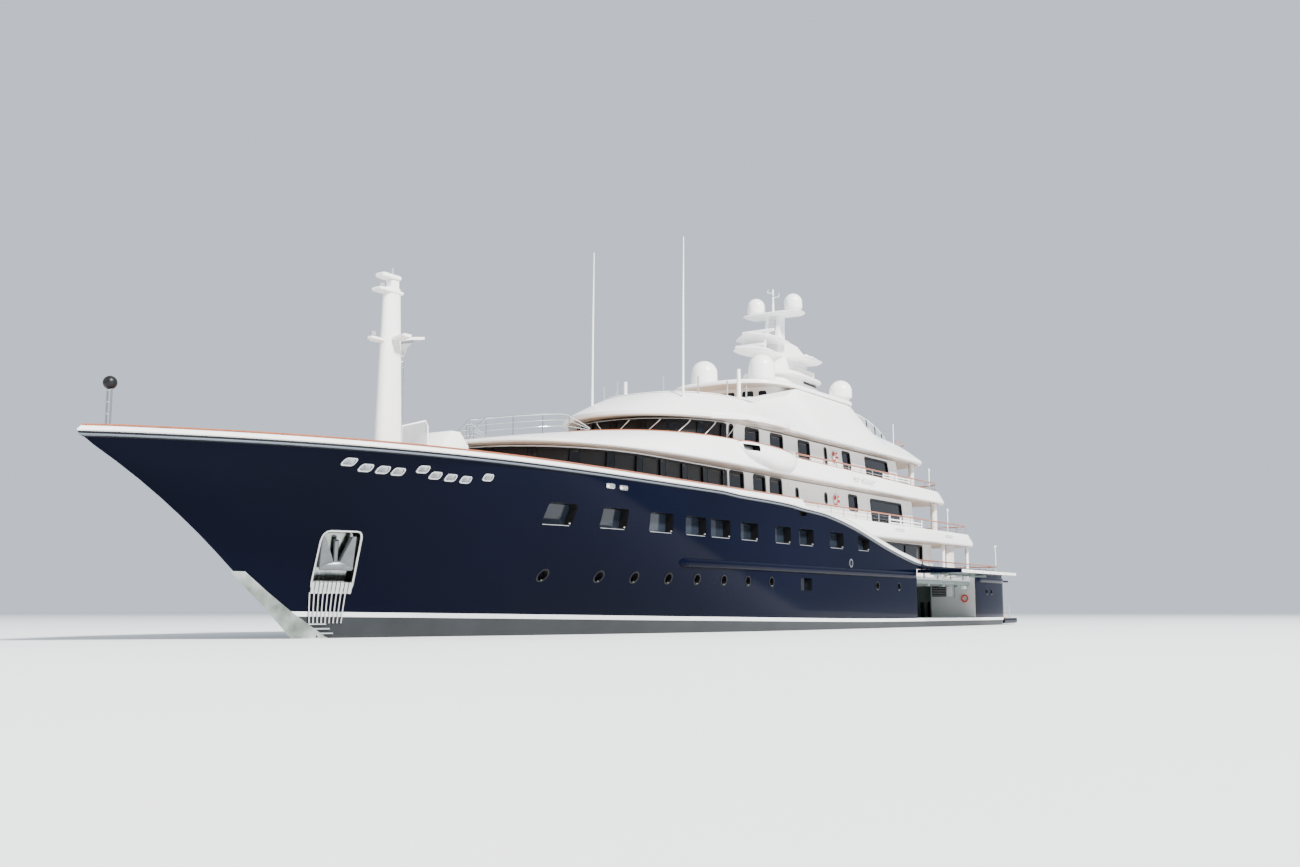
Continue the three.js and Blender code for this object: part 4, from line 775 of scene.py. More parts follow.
def make_stern():
    rings = [at_height(outline("platform", inset), z) for inset, z in
             ((0.2, 0.1), (0.04, 0.14), (0, 0.22), (0, 0.42), (0.03, 0.5), (0.08, 0.52))]
    fine("swim_platform", Shape().loft(rings, lambda ring, column: "teak" if ring == 5 else "navy"), slot="teak")
    fittings = Shape()
    fittings.blocks([(-38.61, -38.0 + 0.3 * k, 5.2, 6.1, 0.55 + 0.28 * k, 0.6 + 0.28 * k) for k in range(3)],
                    "teak", 0.01)
    for y in (5.2, 6.1):
        fittings.tube([(-39.2, y, 0.53), (-39.1, y, 1.5), (-38.9, y, 1.62), (-37.4, y, 1.62), (-37.25, y, 1.5),
                       (-37.2, y, 0.53)], 0.035, "steel")
        fittings.tube([(-39.15, y, 1.1), (-37.22, y, 1.1)], 0.02, "steel")
    fittings.tube([(-35.4, 6.35, 3.53), (-35.45, 6.35, 5.6), (-35.5, 6.3, 6.1), (-35.75, 6.2, 6.32),
                   (-36.1, 6.1, 6.36)], 0.03)
    fittings.block(-36.35, -36.05, 6.02, 6.18, 6.3, 6.4, "white", 0.02).mirrored()
    fittings.blocks([(-29.72, -29.62, y - 0.85, y + 0.85, 0.9, 2.9) for y in (-4, -2, 0, 2, 4)], "glass", 0.02)
    make("stern_fittings", fittings, slot="steel_polished")
    hatch = Shape().block(-39.21, -36.54, -6.1, 6.1, 3.42, 3.6, "navy", 0.04)
    hatch.block(-39.1, -36.7, -5.9, 5.9, 3.4, 3.43, "grey", 0.01)
    for y in (-4, 0, 4):
        hatch.tube([(-36.46, y - 0.3, 3.42), (-36.46, y + 0.3, 3.42)], 0.055, "steel", 12)
        hatch.block(-36.6, -36.46, y - 0.3, y + 0.3, 3.43, 3.47, "navy", 0.005)
    fine("transom_hatch", hatch, moving=True, slot="navy_paint")


# Decks

def slots(shape, places, z, half_height, place):
    """Slot edges on the side of a deck: places are positions and lengths."""
    for x, length in places:
        points = oblong(x, z, length / 2, half_height, half_height * 0.9)
        shape.edging(points, grown(points, -0.025), place, -0.01, 0.006, "grey")


def make_upper_deck():
    soffit = curve([(-30, 5.98), (-10, 5.9), (3, 5.9)])
    top = curve([(-30, 6.9), (-3.6, 6.92), (-2.9, 6.96), (-1.1, 7.12), (0.6, 7.18), (3, 7.18)])

    def ring(plan, inset, z, rise=0.0):
        points = []
        for x, y in outline(plan, inset, 6, 10):
            limit = 6.835 + 0.1 * clamp01((-6.6 - x) / 2.5)
            points.append((x, max(-limit, min(limit, y))))
        return at_height(points, z, rise)
    rings = [ring("upper", 0.22, soffit), ring("upper", 0.06, soffit, 0.03), ring("upper", 0, soffit, 0.12),
             ring("upper", 0, 6.3), ring("upper_top", 0, top, -0.08), ring("upper_top", 0.03, top, -0.02),
             ring("upper_top", 0.08, top), ring("upper_top", 0.2, top), ring("upper_top", 0.24, top, -0.04),
             ring("upper_top", 0.25, UPPER_Z)]
    # The underside takes the painted shade colour.
    shape = Shape().loft(rings, lambda r, c: "teak" if r == 9 else ("soffit" if r == 0 else "white"))
    fine("upper_deck", shape, cuts=[Shape().block(2.5, 3.3, -6.55, 6.55, UPPER_Z, 7.2, "white", 0.001)])
    detail = Shape()
    slots(detail, ((-14.2, 1.5), (-23.5, 1.5)), 6.55, 0.08,
          lambda p, out: (p[0], 6.925 + out - 0.025 * clamp01((p[1] - 6.3) / 0.6), p[1]))
    slots(detail, ((-28.2, 0.6),), 6.55, 0.08, lambda p, out: (p[0], 6.86 + out, p[1]))
    foot = MAIN_Z + 0.01
    for x, y in ((-23.8, 6.3), (-29.1, 6.2)):
        detail.tube([(x, y, foot), (x, y, 6.15)], 0.13, "white", 20)
    # The oval column under the deck's overhang takes the painted shade colour.
    detail.loft([[(-25.65 + 0.72 * c, 6.1 + 0.22 * s, z) for c, s in circle(28)]
                 for z in np.linspace(foot, 6.15, 12)], "soffit")
    make("upper_deck_details", detail.mirrored())


def bulged(ring_a, ring_b, steps):
    """Rings from one to the next that rise a little faster at first, for a crowned slope."""
    return [mixed(ring_a, ring_b, i / steps, 0.8 * i / steps + 0.2 * sin(i / steps * pi / 2))
            for i in range(1, steps + 1)]


def make_bridge_deck():
    def ring(plan, inset, z, rise=0.0):
        return at_height(outline(plan, inset, 36, 10), z, rise)
    edge = ring("bridge", 0, 9.12)
    rings = [ring("bridge", inset, z) for inset, z in ((1.5, 9.0), (0.3, 8.95), (0.1, 8.96), (0.02, 9.0), (0, 9.06))]
    rings += [edge] + bulged(edge, ring("bridge_top", 0, bridge_top), 10)
    rings += [ring("bridge_top", 0.14, bridge_top, 0.01), ring("bridge_top", 0.2, bridge_top, -0.03),
              ring("bridge_top", 0.22, BRIDGE_Z)]
    # The underside takes the deep painted shade colour.
    kinds = {0: "beige", len(rings) - 1: "teak"}
    shape = Shape().loft(rings, lambda r, c: kinds.get(r, "white"))
    # Wing pods: place, projection, underside and top
    rows = [(0.8, 0, 9.85, 10.1), (1, 0.25, 9.5, 10.2), (1.5, 0.5, 9.15, 10.25), (2.4, 0.7, 8.98, 10.32),
            (3.6, 0.74, 8.98, 10.38), (5.2, 0.7, 9.15, 10.42), (6.6, 0.55, 9.4, 10.42), (7.3, 0.3, 9.75, 10.38),
            (7.7, 0, 10.15, 10.3)]
    out_of, low_of, high_of = (curve([(r[0], r[k]) for r in rows]) for k in (1, 2, 3))
    rings = []
    for i in range(41):
        x = 0.82 + 6.86 * (0.5 - 0.5 * cos(pi * i / 40))
        low, high = low_of(x), high_of(x)
        ring_points = [(x, 6.1, low)]
        for k in range(15):
            angle = pi * (k / 14 - 0.5)
            ring_points.append((x, 6.5 + (0.1 + out_of(x)) * max(cos(angle), 0) ** 0.75,
                                (low + high) / 2 + (high - low) / 2 * sin(angle)))
        rings.append(ring_points + [(x, 6.1, high)])
    inside = Shape().loft([at_height(outline("bridge_top", 0.22), z) for z in (BRIDGE_Z, 11)])
    recess = Shape().extruded([(6.15, 9.86), (7.3, 9.86), (7.45, 10.2), (6.05, 10.2)], (6.66, 7.6), "black")
    make("wing_pods", Shape().loft(rings).mirrored(), cuts=[inside, recess.mirrored()])
    deck = fine("bridge_deck", shape)
    detail = Shape()
    detail.tubes([[(x, 6.7, 9.9 + 0.075 * k) for x in (6.15, 7.3)] for k in range(4)], 0.012, "grey", 6)
    line = [(x, 6.545 + 0.45 * out_of(x), high_of(x) - 0.02) for x in np.linspace(0.95, 7.6, 24)]
    detail.tube(line, 0.045, "varnish", 8, flat=0.7)
    for x, length in ((-7.6, 0.7), (-9.4, 1.9)):
        points = oblong(x, 9.5, length / 2, 0.08, 0.07)
        detail.edging(points, grown(points, -0.025),
                      lambda p, out: (p[0], 6.93 + out - 0.3 * clamp01((p[1] - 9.12) / 0.9), p[1]), -0.06, 0.0, "grey")
    # The pillar under the overhang takes the painted shade colour.
    detail.tube([(-23.4, 5.8, UPPER_Z + 0.01), (-23.4, 5.8, 8.98)], 0.24, "soffit", 24)
    detail.mirrored().rim(at_height(outline("bridge_top", 0.08, 36, 10), bridge_top, 0.01),
                          flat_section(-0.07, 0.07, 0.0, 0.045, 0.01), "varnish", loop=True)
    make("bridge_deck_details", detail)
    return deck


def sun_outline(inset=0.0):
    return outline("sun", inset, 40, 12)


def sun_edge_top(point):
    x, y = point
    nose, start, half = PLAN["sun"][:3]
    if x > start:
        forward = start + (PLAN["sun_crest"][0] - start) * (x - start) / (nose - start)
        return (forward, copysign(plan_half("sun_crest", forward), y), 13.5)
    half_edge = plan_half("sun", x)
    top_half = half_edge - (half - 4.15) * clamp01((sun_top(x) - 12) / 1.5)
    return (x + 0.6 * clamp01((-18.5 - x) / 3), y * top_half / max(half_edge, 0.1), sun_top(x))


def make_sun_deck():
    plan = sun_outline()
    edge = at_height(plan, 11.98)
    top = [sun_edge_top(p) for p in plan]
    rings = [at_height([(x, y * 0.8) for x, y in sun_outline(0.6)], 11.85)]
    rings += [at_height(sun_outline(inset), z) for inset, z in ((0.25, 11.72), (0.08, 11.74), (0.01, 11.8), (0, 11.88))]
    rings += [edge] + bulged(edge, top, 14)
    cuts = [Shape().loft([at_height(outline(name), z) for z in (SUN_Z, 17)], lambda r, c: "teak" if c < 0 else "white")
            for name in ("sun_well", "sun_aft_well")]
    # The sun deck's underside takes the deep painted shade colour.
    fine("sun_deck", Shape().loft(rings, lambda r, c: "beige" if r == 0 else "white"), cuts=cuts)
    canopy = [(7.9, 4.75), (7.4, 5.25), (6.6, 5.85), (5.6, 6.3), (4.4, 6.55), (3, 6.62), (1.2, 6.5), (0.3, 6.1),
              (0.1, 5.4)]
    # The canopy's underside, the strips under it and the pillar below take the painted shade colours.
    detail = Shape().loft([at_height([(x, y * wide) for x, y in canopy], z) for wide, z in
                           ((1, 11.74), (1.004, 11.82), (1.004, 11.96), (1, 12.02))],
                          lambda r, c: "soffit" if r == 0 and c < 0 else "white")
    detail.blocks([(x, x + 1.2, 5.9, 6.35, 11.71, 11.745) for x in (1.4, 4.9)], "beige", 0.01)
    detail.tube([(-21.2, 5, BRIDGE_Z + 0.01), (-21.2, 5, 11.8)], 0.2, "soffit", 24)
    make("sun_deck_details", detail.mirrored())
    half = sorted((p for p in top if p[0] > 0.9 and p[1] >= 0), key=lambda p: (p[1], -p[0]))
    path = [(x, -y, z + 0.01) for x, y, z in reversed(half)] + [(x, y, z + 0.01) for x, y, z in half[1:]]
    coaming = Shape().rim(path, flat_section(-0.1, 0.06, 0.0, 0.04, 0.01), "white")
    posts = Shape().blocks([(x - 0.05, x + 0.05, y - 0.03, y + 0.03, 13.45, 14.45)
                            for x, y in ((7.35, 1.6), (6.3, 3.3), (4.1, 3.95), (1.9, 4.0))], "grey", 0.01)
    make("sun_coaming", coaming.join(posts.mirrored()))


def resample(path, spacing):
    """Points at an even distance along a path."""
    path = np.array(path, dtype=float)
    lengths = np.concatenate([[0], np.cumsum(np.linalg.norm(np.diff(path, axis=0), axis=1))])
    count = max(1, round(lengths[-1] / spacing))
    return [tuple(np.interp(lengths[-1] * k / count, lengths, axis) for axis in path.T) for k in range(count + 1)]


# Houses

# Steps round the nose and round a corner of a house, and the thickness of its walls
HOUSE_STEPS = (40, 6)
WALL_THICK = 0.2


class Wall:
    """Outer face of a house, measured by the distance round from its nose and by height."""

    def __init__(self, low, high, foot, head):
        self.low, self.high = low, high
        self.corners = ((foot, 0, low), (head, 0, high), (head, WALL_THICK, high), (foot, WALL_THICK, low))
        half = len(outline(foot, 0, *HOUSE_STEPS)) // 2 + 1
        self.port, self.port_head = (np.array(outline(plan, 0, *HOUSE_STEPS)[:half]) for plan in (foot, head))
        self.along = np.concatenate([[0], np.cumsum(np.linalg.norm(np.diff(self.port, axis=0), axis=1))])

    def shell(self):
        """Wall of an even thickness all round, without floor or roof."""
        return Shape().loft([at_height(outline(plan, inset, *HOUSE_STEPS), z) for plan, inset, z in self.corners],
                            loop=True)

    def at(self, place, out=0.0):
        s, z = place
        side = 1 if s >= 0 else -1
        i = min(max(int(np.searchsorted(self.along, abs(s))) - 1, 0), len(self.port) - 2)
        t = (abs(s) - self.along[i]) / max(self.along[i + 1] - self.along[i], 1e-9)
        rise = clamp01((z - self.low) / (self.high - self.low))
        a, b = (self.port[k] + (self.port_head[k] - self.port[k]) * rise for k in (i, i + 1))
        x, y = a + (b - a) * t
        dx, dy = (b - a) / (hypot(*(b - a)) or 1)
        return (x + dy * out, side * (y - dx * out), z)

    def distance(self, x):
        """Distance round from the nose at which the port side reaches a position."""
        xs = self.port[:, 0]
        i = int(np.argmin(np.where(np.diff(xs) < 0, abs((xs[:-1] + xs[1:]) / 2 - x), 99)))
        return self.along[i] + (self.along[i + 1] - self.along[i]) * (xs[i] - x) / (xs[i] - xs[i + 1])

    def strip(self, shape, start, end, low, high, out0, out1, kind, step=0.35):
        """Curved bar or pane that follows the wall between two distances and two heights."""
        count = max(1, int(abs(end - start) / step))
        shape.loft([[self.at((start + (end - start) * i / count, z), out)
                     for z, out in ((low, out0), (low, out1), (high, out1), (high, out0))]
                    for i in range(count + 1)], kind)


def window(parts, points, place, outer=0.07, inner=-0.06, gap=-0.03, proud=0.025):
    """Cut, black frame and pane of one window; parts are the shapes that take them."""
    cuts, frames, panes = parts
    cuts.plate(points, place, -0.6, 0.3, "black")
    frames.edging(grown(points, outer), grown(points, inner), place, -0.08, proud, "black")
    panes.plate(grown(points, gap), place, -0.12, -0.07, "glass")


def side_windows(wall, rows, slots=()):
    """Cuts, frames and panes of both sides: forward end, aft end, sill and head; middle, sill and head of a slot."""
    parts = (Shape(), Shape(), Shape())
    rows = [(*row, 0.12) for row in rows] + [(x + 0.16, x - 0.16, sill, head, 0.15) for x, sill, head in slots]
    for fore, aft, sill, head, radius in rows:
        start, end = wall.distance(fore), wall.distance(aft)
        window(parts, rounded(start, end, sill, head, min(radius, (end - start) * 0.45)), wall.at)
    return [part.mirrored() for part in parts]


def doorway(aft, low):
    return Shape().block(aft - 1, aft + 1.2, -1.7, 1.7, low - 0.1, low + 2.05, "white", 0.001)


def make_house(plan, low, high, rows, slots, band, glass_node, buoy):
    """House with a band of glass round its front: aft end, sill, head, pitch and mullion."""
    wall = Wall(low, high, plan, f"{plan}_top")
    cuts, frames, panes = side_windows(wall, rows, slots)
    front, sill, head, pitch, mullion = band
    end = wall.distance(front)
    zone = Shape()
    for shape, bottom, top, out0, out1, kind in (
            (zone, sill, head, -0.6, 0.3, "black"), (panes, sill, head, -0.14, -0.08, "curtain"),
            (frames, sill - 0.03, sill + 0.05, -0.12, 0.03, "black"),
            (frames, head - 0.06, head + 0.03, -0.12, 0.03, "black"),
            (frames, sill - 0.12, sill - 0.05, -0.02, 0.06, "varnish")):
        wall.strip(shape, -end, end, bottom, top, out0, out1, kind)
    w = mullion / 2
    for s in np.linspace(-end, end, round(2 * end / pitch) + 1):
        for start, stop, out0, out1, kind in ((-w, w, -0.12, 0.01, "glass"),
                                              (-w - 0.03, -w + 0.02, -0.1, 0.02, "black"),
                                              (w - 0.02, w + 0.03, -0.1, 0.02, "black")):
            wall.strip(frames, max(-end, s + start), min(end, s + stop), sill, head, out0, out1, kind, 0.1)
    aft = PLAN[plan][5]
    fine(plan, wall.shell(), cuts=[cuts, zone, doorway(aft, low)])
    make(f"{plan}_fine_frames", frames, slot="black_paint")
    make(f"{plan}_fine_panes", panes, [glass_node], slot="dark_glass")
    doors = Shape().blocks([(aft + 0.3, aft + 0.36, y, y + 1.62, low + 0.03, low + 2.03) for y in (-1.65, 0.03)],
                           "glass", 0.01)
    doors.blocks([(aft + 0.28, aft + 0.38, y, y + 0.04, low + 0.01, low + 2.05) for y in (-1.68, -0.03, 0.0, 1.65)],
                 "black", 0.01)
    make(f"{plan}_fine_aft_doors", doors, slot="dark_glass")
    x, z = buoy
    y = plan_half(plan, x)
    ring = [(x + 0.28 * c, y + 0.12, z + 0.28 * s) for c, s in circle(24)]
    buoys = Shape().block(x - 0.12, x + 0.12, y + 0.02, y + 0.06, z - 0.4, z + 0.4, "white", 0.02)
    for i in range(0, 24, 3):
        buoys.tube([ring[(i + k) % 24] for k in range(4)], 0.075, "white" if i % 2 else "red")
    make(f"{plan}_fine_lifebuoys", buoys.mirrored())
    return wall


def make_houses():
    make_house("upper_house", UPPER_Z + SEAT, 8.947,
               [(6.45, 4.9, 7.35, 8.85), (3.65, 2.25, 7.35, 8.85), (1.6, 0.15, 7.35, 8.85), (-9.5, -10.85, 7.7, 8.65),
                (-13.1, -18.55, 7, 8.6)],
               [(-1.9, 7.9, 8.5), (-6.0, 7.9, 8.5)], (7, 7.45, 8.85, 2.1, 0.5), "upper_glass", (-7.15, 8.17))
    wall = make_house("bridge_house", BRIDGE_Z + SEAT, 11.717,
                      [(4.1, 2.45, 10.35, 11.61), (0.9, -0.7, 10.3, 11.6), (-2.9, -4.5, 10.27, 11.58),
                       (-9.6, -10.8, 10.5, 11.53), (-13.4, -17.4, 10.1, 11.5)],
                      [(5.6, 10.35, 11.61), (-6.9, 10.47, 11.5)], (6.2, 10.5, 11.65, 1.75, 0.42), "wheelhouse_glass",
                      (-7.85, 11.08))
    wipers = Shape()
    for k in range(5):
        s = 1.1 + 1.75 * k
        wipers.tube([wall.at((s, 11.64), 0.06), wall.at((s - 0.1, 11.5), 0.09), wall.at((s - 0.75, 10.85), 0.07)],
                    [0.035, 0.03, 0.018], "white", 6)
        wipers.tube([wall.at((s - 0.5, 10.65), 0.05), wall.at((s - 0.85, 11.1), 0.05)], 0.014, "black", 6)
    make("wheelhouse_wipers", wipers.mirrored())
    low = MAIN_Z + SEAT
    rings = []
    for inset, z, aft in ((0, low, -24.2), (0, 6.02, -23.72), (0.2, 6.02, -23.72), (0.2, low, -24.2)):
        port = [(2.93 - inset, 6.6 - inset), (-9.5 + inset, 6.6 - inset), (-9.5 + inset, 5.4 - inset),
                (aft + inset, 5.4 - inset)]
        rings.append(at_height(port + [(x, -y) for x, y in reversed(port)],
                               lambda x: min(z, 6.02 if x < -12 else 5.87)))
    parts = cuts, frames, panes = Shape(), Shape(), Shape()
    window(parts, rounded(-21.9, -12.6, 4.55, 5.8, 0.12), lambda p, out: (p[0], 5.4 + out, p[1]))
    frames.blocks([(x - 0.04, x + 0.04, 5.3, 5.4, 4.55, 5.8) for x in (-18.8, -15.7)], "black", 0.01)
    fine("main_house", Shape().loft(rings, loop=True), cuts=[cuts.mirrored(), doorway(-24, low)])
    make("main_house_frames", frames.mirrored(), slot="black_paint")
    make("main_house_panes", panes.mirrored(), slot="dark_glass")
    wall = Wall(SUN_Z + SEAT, 15.2, "sun_house", "sun_house")
    parts = cuts, frames, panes = side_windows(wall, [(-4.2, -6.2, 13.4, 14.6), (-7, -11.5, 13.4, 14.6)])
    for start, end in ((-2.75, -2.35), (-1.9, -1.25), (-0.6, 0.6), (1.25, 1.9), (2.35, 2.75)):
        window(parts, rounded(start, end, 14.05, 14.92, 0.08), wall.at, 0.05, -0.04, -0.02, 0.02)
    fine("sun_house", wall.shell(), cuts=[cuts])
    make("sun_house_frames", frames, slot="black_paint")
    make("sun_house_panes", panes, slot="dark_glass")


def make_hardtop():
    rings = [at_height(outline("hardtop", inset, 30), z) for inset, z in
             ((0.06, 15.203), (0.015, 15.22), (0, 15.27), (0.01, 15.36), (0.06, 15.44), (0.2, 15.51), (0.5, 15.57),
              (0.9, 15.6))]
    # The underside takes the painted shade colour.
    fine("hardtop", Shape().loft(rings, lambda r, c: "soffit" if c < 0 and r == 0 else "white"))


def make_skylight():
    base, square, half = SUN_Z + SEAT, 0.14, 3.68

    def point(along, across, grow=0.0):
        angle, turn = along * pi / 2, across * pi / 2
        y = (half + grow) * copysign(abs(sin(turn)) ** square, turn)
        z = base + (2.86 + grow) * sin(angle) * max(cos(turn), 0) ** square
        return (-13.05 - (7.68 + grow) * cos(angle), y, max(z, base))
    rows, columns = 20, 28
    rings = []
    for i in range(rows + 1):
        along = 0.04 + 0.96 * i / rows
        inner = [point(along, 1 - 2 * k / columns, -0.1) for k in range(columns + 1)]
        rings.append([point(along, -1 + 2 * k / columns) for k in range(columns + 1)]
                     + [(x, y, max(z, base + 0.001)) for x, y, z in inner])
    # The skylight's glass carries the painted sky reflection.
    fine("skylight", Shape().loft(rings, "sky_pane"), slot="dark_glass")
    ribs = Shape()
    for y in (-3.6, -2.6, -1.56, -0.52, 0.52, 1.56, 2.6, 3.6):
        across = copysign(asin((abs(y) / half) ** (1 / square)) * 2 / pi, y)
        ribs.tube([point(0.05 + 0.95 * i / 24, across, 0.02) for i in range(25)], 0.06,
                  "white" if abs(y) > 3 else "grey", flat=0.7)
    for along in (0.16, 0.3, 0.44, 0.58, 0.72, 0.86, 0.99):
        ribs.tube([point(along, -0.98 + 1.96 * k / 40, 0.02) for k in range(41)], 0.045, "black")
    make("skylight_ribs", ribs, slot="steel_grey")


# Masts, domes and aerials

def make_domes():
    for name, centre, radius, height in (("dome_forward", (-3.54, 2.14, ROOF_Z), 0.86, 1.85),
                                         ("dome_aft", (-12.9, 3.3, ROOF_Z), 0.78, 1.4),
                                         ("dome_top", (-9.5, 1.44, 21.503), 0.62, 1.25)):
        drum = height - radius
        profile = [(0.02, 0), (0.72, 0), (0.78, 0.05), (0.8, 0.12), (0.95, 0.16), (1, 0.24), (1, drum * 0.45),
                   (1.008, drum * 0.46), (1.008, drum * 0.5), (1, drum * 0.51), (1, drum)]
        profile += [(cos(a), drum + radius * sin(a)) for a in quarter(12)[1:]]
        profile = [(radius * share, along) for share, along in profile]
        pair((name, Shape().turned(profile, centre, "white", 40), {"angle": 30}))


def make_radar_mast():
    shape = Shape()

    def slab(plan, low, high, edge=0.06, low_inset=0.0, bend=lambda x, y: 0):
        edge = min(edge, (high - low) / 2.4)
        shape.loft([[(x, y, z + bend(x, y)) for x, y in outline(plan, inset, 14, 6)] for inset, z in
                    ((low_inset + edge, low), (low_inset * 0.6 + edge * 0.2, low + edge), (0, high - edge),
                     (edge * 0.8, high))])
    foot, shoulder = at_height(outline("mast_foot"), ROOF_Z), at_height(outline("mast_shoulder"), 17.1)
    # The aft part of the top band, just under the mast roof's overhang, is black: painted shade.
    shape.loft([mixed(foot, shoulder, share, share) for share in (0, 0.3, 0.6, 0.72, 1)],
               lambda r, c: "black" if r == 3 and 42 <= c <= 95 else "white")
    shape.loft([at_height(outline("mast_roof", inset), z) for inset, z in
                ((0.6, 16.86), (0.1, 16.88), (0.01, 16.95), (0, 17.05), (0.1, 17.14), (0.4, 17.3), (0.8, 17.44),
                 (1.2, 17.53))])
    slab("mast_box", 17.4, 17.93, 0.08)
    slab("mast_neck", 17.4, 18.4)
    tip = curve([(-13.5, 0.12), (-13, 0.04), (-12, 0), (-9, 0)])
    slab("mast_wing", 18.2, 18.42, low_inset=0.25, bend=lambda x, y: tip(x))
    slab("radar_shelf", 18.14, 18.42, 0.08, 0.45)
    slab("upper_shelf", 19.36, 19.58, low_inset=0.3, bend=lambda x, y: -0.16 * abs(y))
    slab("spreader", 21.3, 21.48, low_inset=0.1)
    fin = [(-8.7, 18.3), (-13.15, 18.3), (-13.2, 18.8), (-13.05, 19.15), (-12.5, 19.36), (-11.8, 19.5),
           (-10.9, 19.58), (-10.1, 19.6), (-9.6, 19.5), (-8.9, 19.45)]
    shape.loft([[(x, y * (1 if x > -12 else 0.75), z) for x, z in fin] for y in (-0.56, 0.56)])
    for y in (-0.42, 0.42):
        shape.loft([[(fore, y - w, z), (aft, y - w, z), (aft, y + w, z), (fore, y + w, z)]
                    for fore, aft, w, z in ((-8.9, -9.9, 0.13, 19.4), (-9.2, -10.0, 0.1, 21.3))])
    shape.tubes([[(-9.2 - 0.03 * k, y, 19.55 + 0.18 * k) for y in (-0.32, 0.32)] for k in range(9)], 0.02, "white", 6)
    shape.tube([(-9.3, 0, 21.4), (-9.3, 0, 23.2)], [0.09, 0.05], "white", 10)
    for z, dx, dy in ((22.6, 0.0, 0.45), (22.95, 0.0, -0.4), (22.3, 0.5, 0.3)):
        x = -9.3 + dx
        shape.tube([(-9.3, 0, z), (x, dy, z + 0.05), (x, dy, z + 0.22)], 0.025, "white", 6)
        shape.turned([(0.02, 0), (0.06, 0.02), (0.06, 0.1), (0.02, 0.12)], (x, dy, z + 0.22), "grey", 12)
    shape.tube([(-7.3, 0, 18.3), (-8.2, 0, 19.4)], 0.18, "white", 12)
    shape.tubes([[(-6.3, 0.9 * side, 18.4), (-6.6, 0.8 * side, 19.4)] for side in (1, -1)], 0.06)
    shape.turned([(0.02, 0), (0.34, 0.02), (0.4, 0.16), (0.34, 0.32), (0.14, 0.42), (0.02, 0.44)],
                 (-8.0, -0.6, 19.58), "white", 20)
    shape.turned([(0.02, 0), (0.2, 0.02), (0.22, 0.2), (0.1, 0.3), (0.02, 0.32)], (-11.0, 1.6, 18.42), "white", 16)
    shape.blocks([(x, x + 0.22, -0.2, 0.2, 19.45, 19.9) for x in (-10.2, -10.8, -11.4)], "grey", 0.04)
    shape.blocks([(-9.4, -8.9, y - 0.12, y + 0.12, 15.61, 15.9) for y in (2.35, -2.35)], "grey", 0.04)
    fine("radar_mast", shape, angle=34)
    for name, x, z, half in (("radar_lower", -5.9, 18.42, 1.1), ("radar_upper", -7.1, 19.6, 1.2)):
        bar = Shape().turned([(0.02, 0.003), (0.19, 0.003), (0.19, 0.06), (0.14, 0.1), (0.1, 0.2), (0.02, 0.2)],
                             (x, 0, z), "white", 20)
        bar.block(x - 0.12, x + 0.12, -half, half, z + 0.13, z + 0.33, "white", 0.05)
        fine(name, bar, moving=True)


def make_foremast():
    rings = []
    for i in range(13):
        share = i / 12
        z = FOREDECK_Z + SEAT + (15.6 - FOREDECK_Z) * share
        half_x, half_y = 0.78 - 0.33 * share, 0.42 - 0.16 * share
        rings.append([(27.7 + half_x * copysign(abs(c) ** 0.75, c), half_y * copysign(abs(s) ** 0.85, s), z)
                      for c, s in circle(28)])
    shape = Shape().loft(rings)
    shape.block(27.35, 28.5, -0.28, 0.28, 15.98, 16.2, "white", 0.05)
    shape.block(27.4, 27.9, -0.2, 0.2, 15.5, 16.0, "white", 0.05)
    shape.block(27.2, 28.7, -0.3, 0.3, 15.32, 15.5, "white", 0.05)
    shape.block(28.1, 29.0, -0.16, 0.16, 13.05, 13.2, "white", 0.04)
    shape.tube([(27.7, 0, 16.2), (27.7, 0, 16.55)], 0.06, "grey", 10)
    for x, z, r, high in ((28.35, 15.5, 0.14, 0.2), (28.8, 13.2, 0.13, 0.22)):
        shape.turned([(0.02, 0), (r, 0.02), (r, high), (0.02, 0.26)], (x, 0, z), "grey", 14)
    shape.loft([[(27.45, y, z), (27.95, y, z), (27.95, y, z + 0.13), (27.45, y, z + 0.13)]
                for y, z in ((-1.05, 13.26), (-0.5, 13.16), (0, 13.12), (0.5, 13.16), (1.05, 13.26))])
    shape.loft([[(x, -0.2, z + 0.07), (x, 0.2, z + 0.07), (x, 0.2, z - 0.05), (x, -0.2, z - 0.05)]
                for x, z in ((27.6, 13.1), (27.0, 13.35), (26.4, 13.5), (25.7, 13.62))])
    shape.extruded([(27.3, 11.3), (27.3, 13.4), (26.2, 13.45), (26.7, 13.0), (27.0, 12.2)], (-0.06, 0.06), "grey")
    # Ladder
    shape.tubes([[(27, y, 8.0 + 0.27 * k) for y in (-0.16, 0.16)] for k in range(18)], 0.014, "steel", 6)
    shape.tubes([[(27, y, z) for z in (7.8, 12.9)] for y in (-0.16, 0.16)], 0.016, "steel", 6)
    fine("foremast", shape)


